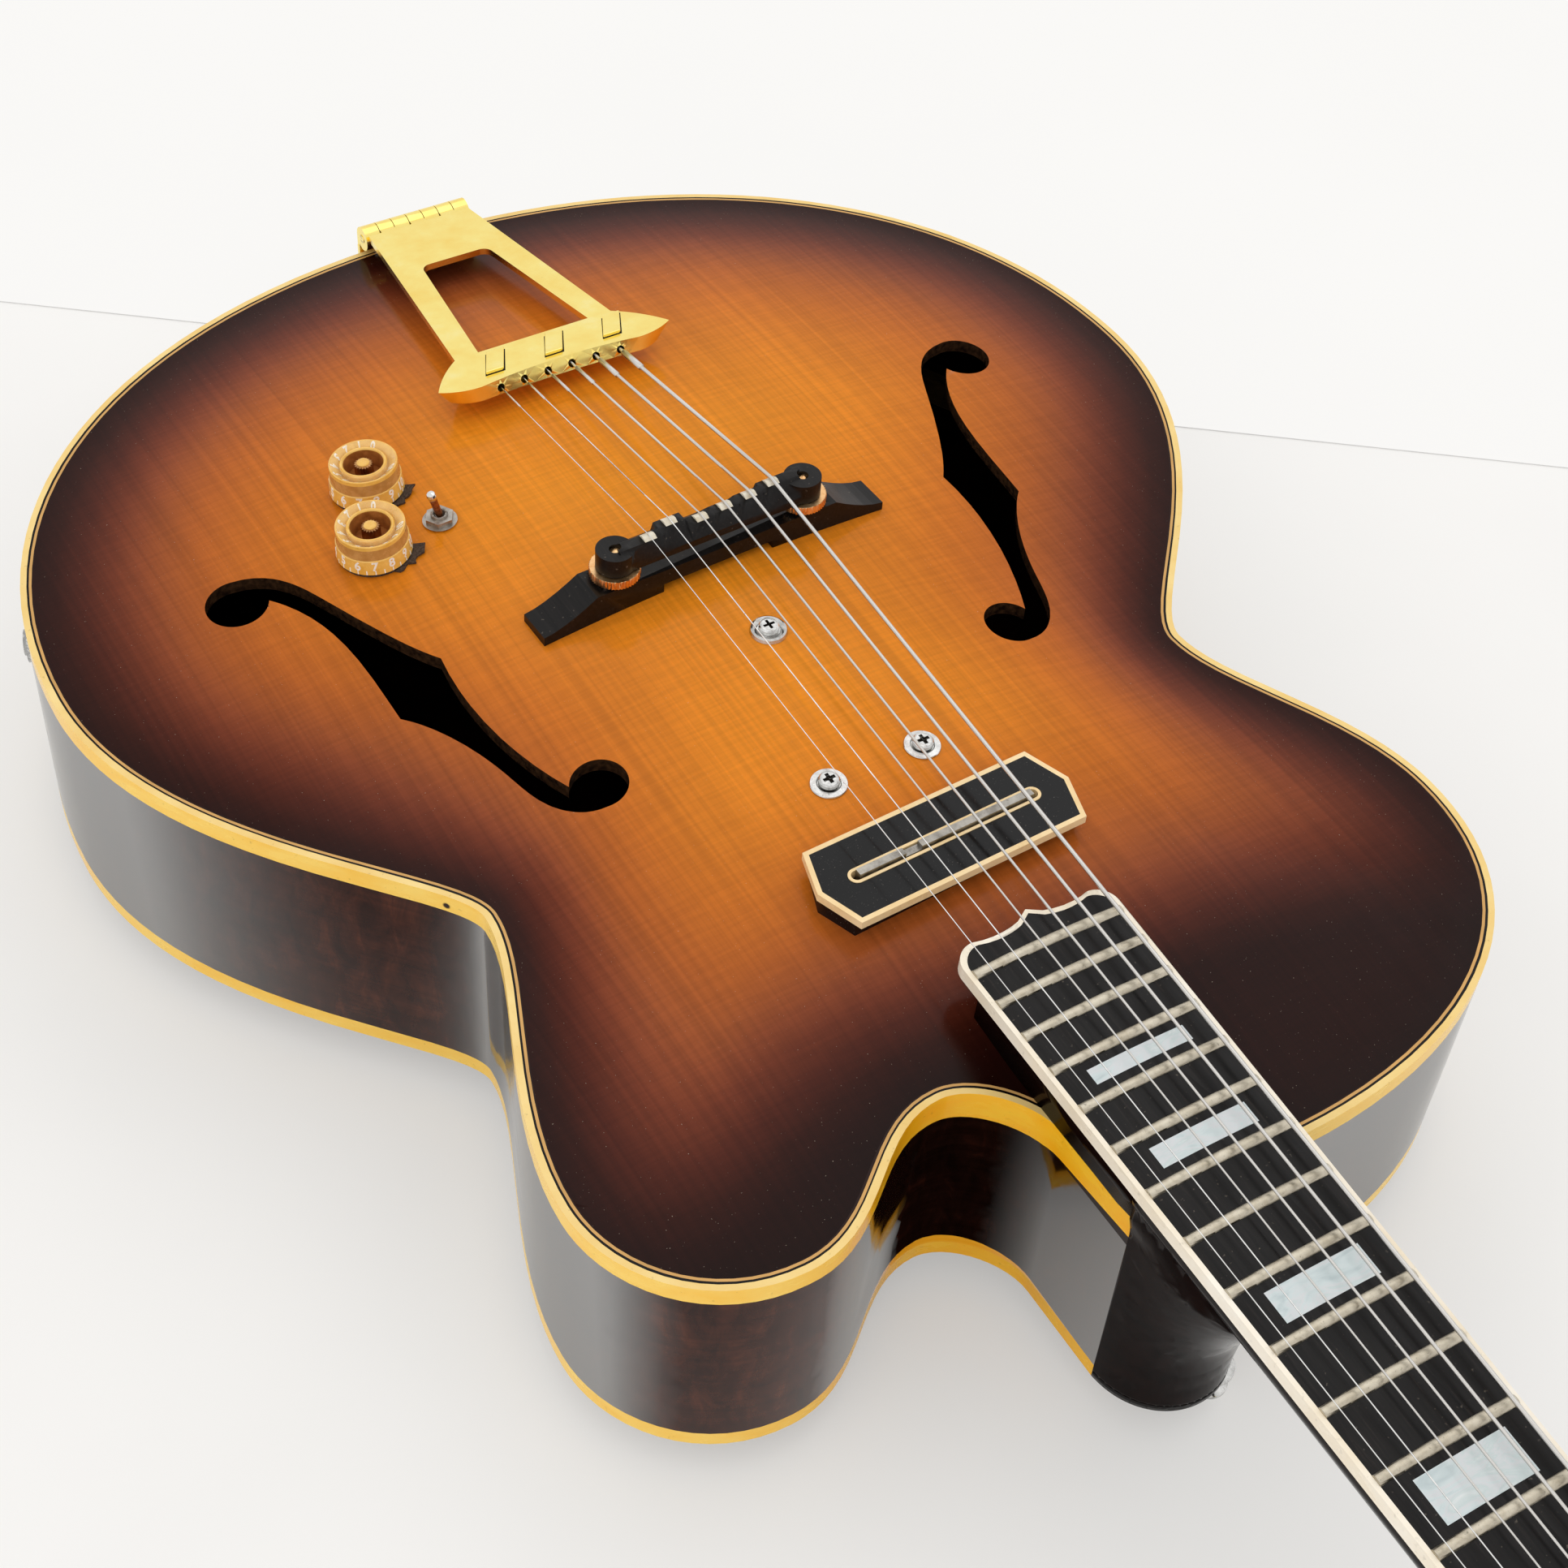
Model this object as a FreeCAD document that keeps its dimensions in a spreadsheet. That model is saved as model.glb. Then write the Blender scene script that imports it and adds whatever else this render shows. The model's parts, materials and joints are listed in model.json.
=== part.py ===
"""Archtop guitar with a rounded cutaway, built piece by piece in millimetres.

Work frame: the guitar lies on its back with +Z up, +Y towards the headstock and +X towards the
cutaway (treble) side. The rim's top edge is Z = 0 and the joint fret is Y = 0, until the last
section moves every piece so that the origin lies under the middle of the whole guitar.
"""
import FreeCAD, Part
import math
import os
import re

import Sketcher
from FreeCAD import Placement, Rotation, Vector

SIZES = [
    # Body outline, half widths and lengths from the joint fret, with curve handles
    ("joint_line", 3.8), ("tail_reach", 520.0), ("lower_half", 216.0), ("lower_reach", 338.8),
    ("waist_half", 133.6), ("waist_reach", 189.7), ("upper_half", 165.2), ("upper_reach", 95.2),
    ("shoulder_half", 40.6), ("treble_half", 162.8), ("treble_reach", 84.7), ("horn_across", 112.4),
    ("horn_reach", 34.2), ("valley_across", 48.5), ("valley_reach", 65.4), ("cheek_across", 23.9),
    ("cheek_reach", 37.5), ("tail_pull", 125.7), ("lower_tail_pull", 105.6),
    ("lower_waist_pull", 78.3), ("waist_tail_pull", 20.1), ("waist_neck_pull", 25.0),
    ("upper_pull", 38.0), ("treble_pull", 40.0), ("upper_neck_pull", 63.0), ("shoulder_pull", 65.0),
    ("treble_neck_pull", 26.3), ("horn_pull", 29.4), ("horn_cut_pull", 29.1), ("valley_pull", 23.9),
    ("valley_cheek_pull", 11.6), ("cheek_pull", 12.6),
    # Box of the body
    ("rim_depth", 84.0), ("rim_wall", 3.2), ("glue_line", 0.15), ("plate_thickness", 5.0),
    ("top_arch", 16.0), ("back_arch", 16.0), ("recurve", 0.10), ("binding_width", 2.2),
    ("binding_height", 7.0), ("back_binding_height", 6.0), ("cutaway_binding_drop", 7.0),
    ("purfling_width", 2.0), ("purfling_depth", 2.0), ("lining_width", 5.5), ("lining_height", 12.0),
    ("block_depth", 55.0), ("block_half", 38.0), ("tail_block_depth", 26.0), ("tone_bar_width", 6.0),
    ("tone_bar_height", 12.0), ("tone_bar_length", 300.0), ("tone_bar_spread", 52.0),
    ("tone_bar_splay", 4.0),
    # Sound holes
    ("upper_eye_across", 79.8), ("upper_eye_reach", 216.0), ("upper_eye_radius", 9.6),
    ("lower_eye_across", 147.3), ("lower_eye_reach", 347.0), ("lower_eye_radius", 10.8),
    ("outer_nick_across", 122.3), ("outer_nick_reach", 272.5), ("inner_nick_across", 99.8),
    ("inner_nick_reach", 288.5),
    # Neck and fingerboard
    ("scale_length", 647.7), ("joint_fret", 14), ("fret_count", 20), ("neck_tilt", 2.96),
    ("board_rise", 20.2), ("board_thickness", 6.0), ("board_radius", 305.0), ("nut_width", 43.0),
    ("board_end_width", 56.5), ("board_overhang", 3.5), ("scallop_depth", 6.6),
    ("scallop_point", 9.2), ("board_binding", 1.6), ("fret_height", 1.1), ("fret_bead", 1.35),
    ("inlay_depth", 0.8), ("inlay_share", 0.62), ("inlay_margin", 4.5), ("neck_depth_nut", 15.0),
    ("neck_depth_heel", 18.0), ("heel_length", 24.0), ("heel_half", 22.0),
    ("heel_root_length", 54.0), ("heel_root_half", 26.0), ("heel_root_drop", 6.0),
    ("heel_cheek_height", 18.0), ("heel_cheek_lean", 0.55), ("heel_cap_thickness", 2.5),
    ("riser_inset", 2.5), ("nut_length", 5.0), ("nut_height", 3.4), ("nut_clearance", 0.12),
    ("string_over_nut", 1.3), ("truss_rod_radius", 2.5), ("truss_rod_length", 330.0),
    ("truss_rod_depth", 5.0),
    # Headstock
    ("head_angle", 14.0), ("head_drop", 2.0), ("scarf_start", 22.0), ("scarf_end", 30.0),
    ("head_length", 182.0), ("head_thickness", 13.5), ("veneer_thickness", 1.5),
    ("head_half_nut", 22.5), ("head_half_top", 38.5), ("head_crown", 14.0), ("head_binding", 1.5),
    ("cover_length", 34.0), ("cover_half", 11.0), ("cover_thickness", 1.2), ("cover_start", 5.0),
    ("cover_margin", 3.0), ("cover_screw_radius", 1.8),
    # Tuning machines
    ("tuner_first", 48.0), ("tuner_step", 36.0), ("tuner_half_first", 20.5),
    ("tuner_half_step", 3.2), ("post_radius", 3.0), ("post_top", 11.0), ("post_clearance", 0.05),
    ("bushing_radius", 4.4), ("bushing_flange", 6.2), ("bushing_flange_height", 1.2),
    ("gear_module", 0.6), ("gear_teeth", 14), ("gear_face", 4.0), ("gear_gap", 1.28),
    ("gear_lift", 2.2), ("tooth_height", 0.5), ("tooth_depth", 0.75), ("mesh_clearance", 0.05),
    ("thread_sink", 0.2), ("worm_turns", 4), ("worm_core", 1.55), ("worm_pitch_radius", 2.2),
    ("worm_length", 9.0), ("thread_base", 0.7), ("thread_tip", 0.34), ("housing_wall", 1.2),
    ("housing_room", 0.5), ("shaft_radius", 1.5), ("shaft_clearance", 0.05), ("button_out", 57.0),
    ("button_length", 18.0), ("button_half", 10.5), ("button_thickness", 6.5), ("button_stem", 2.6),
    # Bridge
    ("bridge_reach", 285.2), ("bridge_skew", 2.5), ("base_length", 137.0), ("base_width", 13.5),
    ("base_height", 9.0), ("base_end_height", 0.2), ("base_flat", 96.0), ("base_dish", 1.5),
    ("base_gap", 44.0),
    ("base_gap_height", 3.0), ("post_spread", 75.0), ("bridge_post_radius", 2.0),
    ("bridge_post_sink", 6.0), ("bridge_post_height", 16.5), ("bridge_clearance", 0.06),
    ("wheel_radius", 8.8), ("wheel_thickness", 3.0), ("wheel_lift", 1.2), ("wheel_teeth", 48),
    ("saddle_height", 9.0), ("saddle_foot", 11.0), ("saddle_crest", 4.0), ("saddle_gap", 0.3),
    ("tower_radius", 6.6), ("tower_height", 7.2), ("insert_width", 4.6), ("insert_length", 4.0),
    ("insert_depth", 3.0), ("insert_rise", 0.8), ("saddle_spread", 51.0), ("nut_spread", 36.0),
    # Tailpiece
    ("hinge_setback", 2.8), ("hinge_height", 7.6), ("tail_rise", 6.4), ("barrel_radius", 4.8),
    ("plate_rise", 3.5),
    ("pin_radius", 1.75), ("pin_clearance", 0.05), ("hinge_width", 45.0), ("knuckle_count", 7),
    ("knuckle_clearance", 0.3), ("leaf_thickness", 2.0), ("leaf_length", 62.0),
    ("frame_thickness", 2.5), ("frame_half_hinge", 21.5), ("frame_half_bar", 32.5),
    ("cut_start", 37.0), ("cut_half_hinge", 14.0), ("cut_half_bar", 23.0), ("cut_corner", 4.0),
    ("bar_start", 104.8), ("bar_flat", 32.0), ("bar_half", 47.3), ("bar_tip", 121.8),
    ("bar_crest", 126.2), ("bar_sag", 2.7), ("bar_front", 126.8), ("bar_keel", 43.0),
    ("bar_bulge", 1.2),
    ("bar_height", 4.2), ("bar_drop", 1.3), ("tab_width", 7.2), ("tab_length", 12.5),
    ("tab_height", 1.4), ("tab_setback", 3.2), ("tab_spread", 24.0),
    ("tab_skew", 6.3), ("tail_spread", 49.0),
    ("string_hole_radius", 1.5), ("ball_radius", 1.7), ("ball_length", 3.0), ("ball_wall", 7.0),
    ("ball_clearance", 0.1), ("wrap_length", 13.0), ("string_exit", 1.0), ("wrap_ratio", 1.7),
    ("string_1", 0.33), ("string_2", 0.43), ("string_3", 0.66), ("string_4", 0.91),
    ("string_5", 1.17), ("string_6", 1.42), ("saddle_clearance", 0.15), ("string_bend", 6.0),
    ("wind_turns", 2), ("wind_gap", 0.5), ("wind_clearance", 0.25), ("wind_top", 8.5),
    # Pickup
    ("pickup_reach", 138.5), ("pickup_skew", 2.2), ("pickup_height", 18.0),
    ("pickup_half_flat", 42.7), ("pickup_half", 48.0), ("pickup_half_width", 16.2),
    ("pickup_plate", 3.0), ("pickup_edge", 1.7), ("slot_half", 36.4), ("slot_half_width", 2.9),
    ("liner_width", 1.0), ("liner_rise", 0.3), ("blade_half", 33.2), ("blade_width", 2.6),
    ("blade_rise", 1.6), ("blade_notch", 6.0), ("blade_notch_depth", 1.6), ("coil_inset", 1.0),
    ("blade_clearance", 0.1), ("blade_room", 1.3), ("magnet_width", 12.0), ("magnet_thickness", 6.0),
    ("magnet_gap", 3.5), ("magnet_length", 125.0), ("screw_radius", 1.9), ("screw_head", 3.6),
    ("screw_head_height", 2.0), ("washer_radius", 6.8), ("washer_thickness", 1.1),
    ("near_screw_reach", 178.0), ("near_screw_spread", 35.5), ("far_screw_reach", 245.0),
    ("screw_clearance", 0.1),
    # Controls
    ("volume_across", 97.4), ("volume_reach", 344.5), ("tone_across", 85.9), ("tone_reach", 374.8),
    ("knob_base_radius", 13.2), ("knob_top_radius", 12.0), ("knob_height", 11.9),
    ("knob_well_radius", 7.4), ("knob_well_depth", 3.0), ("knob_lift", 1.2),
    ("knob_bore_depth", 8.0), ("shaft_round", 3.0), ("shaft_sink", 12.0), ("pot_radius", 12.0),
    ("pot_height", 9.0), ("pot_bushing", 4.7), ("pot_nut", 6.6), ("pot_nut_height", 2.0),
    ("pot_clearance", 0.05), ("pot_gap", 0.6), ("pointer_radius", 10.5), ("pointer_tip", 18.0),
    ("pointer_thickness", 0.8), ("pointer_turn", 112.0), ("switch_across", 71.6),
    ("switch_reach", 346.6), ("switch_bushing", 3.0), ("switch_bushing_height", 5.5),
    ("switch_nut", 4.6), ("switch_nut_height", 2.0), ("switch_washer", 5.4),
    ("switch_washer_height", 0.8), ("switch_body_width", 7.0), ("switch_body_length", 12.5),
    ("switch_body_height", 9.5), ("lever_radius", 1.3), ("lever_tip_radius", 1.7),
    ("lever_length", 11.0), ("lever_lean", 12.0), ("lever_clearance", 0.3), ("lever_sink", 2.2),
    # Jack and strap holders
    ("jack_reach", 406.0), ("jack_drop", 36.0), ("jack_bore", 3.2), ("jack_barrel", 4.7),
    ("jack_length", 24.0), ("jack_nut", 7.2), ("jack_nut_height", 2.6), ("jack_flange", 8.0),
    ("jack_flange_height", 3.0), ("jack_clearance", 0.05), ("jack_proud", 1.2), ("jack_seat", 0.3),
    ("pin_drop", 42.0), ("button_flange", 7.5), ("button_waist", 4.0), ("button_head", 6.8),
    ("button_tall", 12.0), ("button_shank", 3.5), ("button_shank_length", 18.0),
    ("heel_button_across", 11.5), ("heel_button_reach", 11.3), ("button_seat", 0.1),
    ("leaf_screw_radius", 1.6), ("leaf_screw_head", 3.2), ("leaf_screw_length", 14.0),
    ("leaf_screw_spread", 28.0), ("leaf_screw_drop", 20.0),
]

doc = FreeCAD.newDocument("ArchtopGuitar")
sheet = doc.addObject("Spreadsheet::Sheet", "Sizes")
for row, (alias, number) in enumerate(SIZES, start=1):
    sheet.set("A%d" % row, alias)
    sheet.set("B%d" % row, str(number))
    sheet.setAlias("B%d" % row, alias)
doc.recompute()

ALIASES = {alias for alias, number in SIZES}
X_AXIS = Vector(1, 0, 0)
Y_AXIS = Vector(0, 1, 0)
Z_AXIS = Vector(0, 0, 1)
pieces = []


def size(alias):
    """The sheet's value under an alias."""
    return float(sheet.get(alias))


def bound(expression):
    """An expression in which every alias points at the sheet."""
    def point(match):
        word = match.group(0)
        return "Sizes." + word if word in ALIASES else word
    return re.sub(r"[a-z][a-z_0-9]*", point, expression)


def number(expression):
    """What an expression of aliases comes to now."""
    return float(sheet.evalExpression(bound(expression)))


def keep(item, label):
    """Names a sub-part and puts it on the list of pieces."""
    item.Label = label
    pieces.append(item)
    return item


def solid_piece(label, shape, place=None):
    """A sub-part whose shape is worked out in code from the sheet."""
    item = doc.addObject("Part::Feature", label)
    item.Shape = shape
    if place is not None:
        item.Placement = place
    return keep(item, label)


def origin_plane(body, role):
    return next(plane for plane in body.Origin.OriginFeatures if plane.Role == role)


def new_sketch(body, name, role):
    sketch = body.newObject("Sketcher::SketchObject", name)
    sketch.AttachmentSupport = (origin_plane(body, role), [""])
    sketch.MapMode = "FlatFace"
    return sketch


def hold(sketch, kind, index, expression):
    """Ties one coordinate of a corner to the sheet."""
    axis = -2 if kind == "DistanceX" else -1
    if expression == "0":
        sketch.addConstraint(Sketcher.Constraint("PointOnObject", index, 1, axis))
        return
    place = sketch.addConstraint(
        Sketcher.Constraint(kind, -1, 1, index, 1, number(expression)))
    sketch.setExpression("Constraints[%d]" % place, bound(expression))


def draw_outline(sketch, corners):
    """A closed outline of straight sides; each corner is two expressions."""
    points = [Vector(number(across), number(along), 0) for across, along in corners]
    count = len(points)
    for index in range(count):
        sketch.addGeometry(Part.LineSegment(points[index], points[(index + 1) % count]))
    for index in range(count):
        sketch.addConstraint(
            Sketcher.Constraint("Coincident", index, 2, (index + 1) % count, 1))
    for index, (across, along) in enumerate(corners):
        hold(sketch, "DistanceX", index, across)
        hold(sketch, "DistanceY", index, along)


def turned(label, corners, place=None):
    """A turned piece: an outline of radius and height, spun about its own Z axis."""
    body = doc.addObject("PartDesign::Body", label)
    sketch = new_sketch(body, label + "_profile", "XZ_Plane")
    draw_outline(sketch, corners)
    turn = body.newObject("PartDesign::Revolution", label + "_turn")
    turn.Profile = sketch
    turn.ReferenceAxis = (sketch, ["V_Axis"])
    turn.Angle = 360
    sketch.Visibility = False
    doc.recompute()
    if place is not None:
        body.Placement = place
    return body


def padded(label, corners, thickness, place=None, role="XY_Plane"):
    """A flat piece: an outline padded along its plane's normal."""
    body = doc.addObject("PartDesign::Body", label)
    sketch = new_sketch(body, label + "_outline", role)
    draw_outline(sketch, corners)
    pad = body.newObject("PartDesign::Pad", label + "_pad")
    pad.Profile = sketch
    pad.Length = number(thickness)
    pad.setExpression("Length", bound(thickness))
    sketch.Visibility = False
    doc.recompute()
    if place is not None:
        body.Placement = place
    return body


def copies(master, places):
    """Copies of a piece's own shape at several places."""
    shape = master.Shape.copy()
    shape.Placement = Placement()
    result = []
    for place in places:
        copy = shape.copy()
        copy.Placement = place
        result.append(copy)
    return result


def placed(shape, place):
    """A copy of a shape, moved by a placement."""
    copy = shape.copy()
    copy.Placement = place.multiply(copy.Placement)
    return copy


def cylinder(radius, length, base=Vector(0, 0, 0), direction=Z_AXIS):
    return Part.makeCylinder(radius, length, base, direction)


def box_between(low, high):
    """A box from its low corner to its high corner."""
    span = high - low
    return Part.makeBox(span.x, span.y, span.z, low)


def joined(shapes):
    """One solid from several that overlap or touch."""
    return shapes[0].multiFuse(shapes[1:]).removeSplitter()


def prism_of(edges, low, high):
    """A closed run of flat edges, raised from one height to another."""
    wire = Part.Wire(Part.__sortEdges__(edges))
    face = Part.Face(wire)
    face.translate(Vector(0, 0, low))
    return face.extrude(Vector(0, 0, high - low))


# Body outline: curved stretches between the points where it runs along or across
def outline_curves():
    """The curved stretches, clockwise from the cutaway's cheek to the bass shoulder."""
    tail = Vector(0, -size("tail_reach"))

    def side(sign):
        lower = Vector(sign * size("lower_half"), -size("lower_reach"))
        waist = Vector(sign * size("waist_half"), -size("waist_reach"))
        around_tail = [lower, lower - Y_AXIS * size("lower_tail_pull"),
                       tail + X_AXIS * sign * size("tail_pull"), tail]
        to_waist = [waist, waist - Y_AXIS * size("waist_tail_pull"),
                    lower + Y_AXIS * size("lower_waist_pull"), lower]
        return waist, to_waist, around_tail

    cheek = Vector(size("cheek_across"), -size("cheek_reach"))
    valley = Vector(size("valley_across"), -size("valley_reach"))
    horn = Vector(size("horn_across"), -size("horn_reach"))
    treble = Vector(size("treble_half"), -size("treble_reach"))
    upper = Vector(-size("upper_half"), -size("upper_reach"))
    shoulder = Vector(-size("shoulder_half"), -size("joint_line"))
    treble_waist, treble_low, treble_tail = side(1)
    bass_waist, bass_low, bass_tail = side(-1)
    waist_pull = Y_AXIS * size("waist_neck_pull")
    return [
        [cheek, cheek - Y_AXIS * size("cheek_pull"),
         valley - X_AXIS * size("valley_cheek_pull"), valley],
        [valley, valley + X_AXIS * size("valley_pull"),
         horn - X_AXIS * size("horn_cut_pull"), horn],
        [horn, horn + X_AXIS * size("horn_pull"),
         treble + Y_AXIS * size("treble_neck_pull"), treble],
        [treble, treble - Y_AXIS * size("treble_pull"), treble_waist + waist_pull, treble_waist],
        treble_low,
        treble_tail,
        bass_tail[::-1],
        bass_low[::-1],
        [bass_waist, bass_waist + waist_pull, upper - Y_AXIS * size("upper_pull"), upper],
        [upper, upper + Y_AXIS * size("upper_neck_pull"),
         shoulder - X_AXIS * size("shoulder_pull"), shoulder],
    ]


CURVES = outline_curves()
STATIONS = 12


def curve_at(handles, share):
    """Point and direction on a cubic curve."""
    first, second, third, last = handles
    rest = 1 - share
    point = first * rest**3 + second * (3 * rest**2 * share)
    point += third * (3 * rest * share**2) + last * share**3
    slope = (second - first) * (3 * rest**2) + (third - second) * (6 * rest * share)
    slope += (last - third) * (3 * share**2)
    return point, slope.normalize()


def meet(first, second):
    """Where two lines cross, each a point and a direction."""
    (point, along), (other, way) = first, second
    gap = other - point
    turn = along.x * way.y - along.y * way.x
    return point + along * ((gap.x * way.y - gap.y * way.x) / turn)


def inset_handles(handles, inset):
    """The handles of a stretch moved inwards, each leg of their frame by the same distance."""
    legs = []
    for first, second in zip(handles, handles[1:]):
        along = (second - first).normalize()
        aside = Vector(along.y, -along.x) * inset
        legs.append((first + aside, along))
    return [legs[0][0], meet(legs[0], legs[1]), meet(legs[1], legs[2]), handles[-1] + aside]


def outline_edges(inset):
    """The whole outline as edges, moved inwards by a distance."""
    edges = []
    frames = [inset_handles(handles, inset) for handles in CURVES]
    for frame in frames:
        curve = Part.BezierCurve()
        curve.setPoles(frame)
        edges.append(curve.toShape())
    shoulder, cheek = frames[-1][-1], frames[0][0]
    corner = Vector(cheek.x, shoulder.y)
    edges.append(Part.LineSegment(shoulder, corner).toShape())
    edges.append(Part.LineSegment(corner, cheek).toShape())
    return edges


def outline_prism(inset, low, high):
    return prism_of(outline_edges(inset), low, high)


def outline_ring(outer, inner, low, high):
    return outline_prism(outer, low, high).cut(outline_prism(inner, low, high))


# Arched plates: a dome over the soft distance to the rim, with a recurve along the edge
def rim_samples(inset):
    """Points along the inset outline, each with the length of rim that it stands for."""
    points = []
    frames = [inset_handles(handles, inset) for handles in CURVES]
    for frame in frames:
        points.extend(curve_at(frame, step / STATIONS)[0] for step in range(STATIONS))
    shoulder, cheek = frames[-1][-1], points[0]
    points.append(shoulder)
    points.append(Vector(cheek.x, shoulder.y))
    samples = []
    count = len(points)
    for index, point in enumerate(points):
        span = (points[(index + 1) % count] - points[index - 1]).Length / 2
        samples.append((point.x, point.y, span))
    return samples


RIM = rim_samples(size("binding_width") + size("purfling_width"))


def inside_rim(across, along):
    """Whether a place lies inside the arched part of the plate."""
    inside = False
    for index in range(len(RIM)):
        x1, y1, span = RIM[index - 1]
        x2, y2, span = RIM[index]
        if (y1 > along) != (y2 > along):
            if across < x1 + (along - y1) / (y2 - y1) * (x2 - x1):
                inside = not inside
    return inside


def soft_distance(across, along):
    """A smooth distance to the rim: nearby stretches count most."""
    total = 0.0
    for x, y, span in RIM:
        gap = math.hypot(across - x, along - y)
        total += span / max(gap, 0.5)**3
    return total**-0.5


DEEPEST = soft_distance(0, -size("lower_reach"))


def dome(across, along):
    """Height of the arch at a place, as a share of its full height."""
    if not inside_rim(across, along):
        return 0.0
    share = soft_distance(across, along) / DEEPEST
    turn = size("recurve")
    return share**2 * (1 + turn) / (share + turn)


GRID_STEP = 9.0


def arch_face(height, level):
    """The arched face over the whole body, raised or lowered from a level."""
    half = size("lower_half") + GRID_STEP
    columns = int(2 * half / GRID_STEP) + 2
    rows = int(size("tail_reach") / GRID_STEP) + 3
    grid = []
    for column in range(columns):
        across = -half + column * GRID_STEP
        line = []
        for row in range(rows):
            along = GRID_STEP - row * GRID_STEP
            line.append(Vector(across, along, level + height * dome(across, along)))
        grid.append(line)
    surface = Part.BSplineSurface()
    surface.interpolate(grid)
    return surface.toShape()


def top_height(across, along):
    """Height of the top's outside at a place."""
    return size("top_arch") * dome(across, along)


def top_normal(across, along):
    """Direction square to the top at a place."""
    step = 2.0
    slope_x = (top_height(across + step, along) - top_height(across - step, along)) / (2 * step)
    slope_y = (top_height(across, along + step) - top_height(across, along - step)) / (2 * step)
    return Vector(-slope_x, -slope_y, 1).normalize()


def on_top(across, along, lift=0.0):
    """A place on the top whose Z axis stands square to it."""
    normal = top_normal(across, along)
    point = Vector(across, along, top_height(across, along)) + normal * lift
    return Placement(point, Rotation(Z_AXIS, normal))


THICK = size("plate_thickness")
DEPTH = size("rim_depth")
top_face = arch_face(size("top_arch"), 0)
back_face = arch_face(-size("back_arch"), -DEPTH)
BELOW = 60.0
below_top = top_face.extrude(Vector(0, 0, -BELOW))
under_top = top_face.extrude(Vector(0, 0, -THICK))
under_face = top_face.copy()
under_face.translate(Vector(0, 0, -THICK))
over_back = back_face.extrude(Vector(0, 0, THICK))


# Sound holes: two round eyes joined by a waisted stem with a nick on either side
def spline(points):
    curve = Part.BSplineCurve()
    curve.interpolate(Points=points)
    return curve.toShape()


def sound_hole(sign):
    """The cutter for one sound hole."""
    def at(across, reach):
        return Vector(sign * across, -reach, 0)

    def bow(start, end, *bends):
        """A curve past points given as a share of the way and a share of it to the side."""
        run = end - start
        aside = Vector(-run.y, run.x) * sign
        via = [start + run * share + aside * off for share, off in bends]
        return spline([start] + via + [end])

    def eye(side, turn):
        radius = size(side + "_eye_radius")
        return at(size(side + "_eye_across") + radius * math.cos(math.radians(turn)),
                  size(side + "_eye_reach") - radius * math.sin(math.radians(turn)))

    outer = at(size("outer_nick_across"), size("outer_nick_reach"))
    inner = at(size("inner_nick_across"), size("inner_nick_reach"))
    upper_nib, upper_top = eye("upper", -25), eye("upper", 80)
    lower_nib, lower_end = eye("lower", 155), eye("lower", -100)
    edges = [
        Part.Arc(upper_nib, eye("upper", -155), upper_top).toShape(),
        bow(upper_top, outer, (0.10, 0.08), (0.22, 0.10), (0.46, 0.043), (0.79, -0.016)),
        bow(outer, lower_nib, (0.25, -0.048), (0.63, -0.085)),
        Part.Arc(lower_nib, eye("lower", 30), lower_end).toShape(),
        bow(lower_end, inner, (0.16, 0.091), (0.43, 0.069), (0.73, 0.017)),
        bow(inner, upper_nib, (0.26, -0.055), (0.58, -0.067)),
    ]
    return prism_of(edges, -2 * THICK, size("top_arch") + THICK)


# Placements shared by groups of pieces
def fret_at(fret):
    """Distance of a fret from the joint fret, towards the headstock."""
    scale = size("scale_length")
    return scale * (2 ** (-fret / 12) - 2 ** (-size("joint_fret") / 12))


NUT_AT = fret_at(0)
neck_place = Placement(Vector(0, 0, size("board_rise")), Rotation(X_AXIS, -size("neck_tilt")))
head_place = neck_place * Placement(
    Vector(0, NUT_AT + size("nut_length"), -size("head_drop")),
    Rotation(X_AXIS, -size("head_angle")))
HINGE_REACH = size("tail_reach") - size("hinge_setback")
tail_place = Placement(Vector(0, -HINGE_REACH, size("hinge_height")),
                       Rotation(X_AXIS, size("tail_rise")))
bridge_ground = top_height(0, -size("bridge_reach"))
bridge_place = Placement(Vector(0, -size("bridge_reach"), bridge_ground),
                         Rotation(Z_AXIS, size("bridge_skew")))
volume_place = on_top(size("volume_across"), -size("volume_reach"))
tone_place = on_top(size("tone_across"), -size("tone_reach"))
switch_place = on_top(size("switch_across"), -size("switch_reach"))
pickup_place = Placement(Vector(0, -size("pickup_reach"), 0), Rotation(Z_AXIS, size("pickup_skew")))
screw_spots = [
    (-size("near_screw_spread") / 2, -size("near_screw_reach")),
    (size("near_screw_spread") / 2, -size("near_screw_reach")),
    (0, -size("far_screw_reach")),
]
screw_places = [on_top(across, along) for across, along in screw_spots]


def jack_seat():
    """Where the jack leaves the rim, with Z pointing out of the body."""
    handles = CURVES[5]
    low, high = 0.0, 1.0
    for step in range(40):
        middle = (low + high) / 2
        if curve_at(handles, middle)[0].y > -size("jack_reach"):
            low = middle
        else:
            high = middle
    point, along = curve_at(handles, low)
    outward = Vector(-along.y, along.x, 0)
    return Placement(point - Z_AXIS * size("jack_drop"), Rotation(Z_AXIS, outward))


jack_place = jack_seat()
end_pin_place = Placement(
    Vector(0, -size("tail_reach") - size("leaf_thickness"), -size("pin_drop")),
    Rotation(Z_AXIS, Vector(0, -1, 0)))

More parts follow.
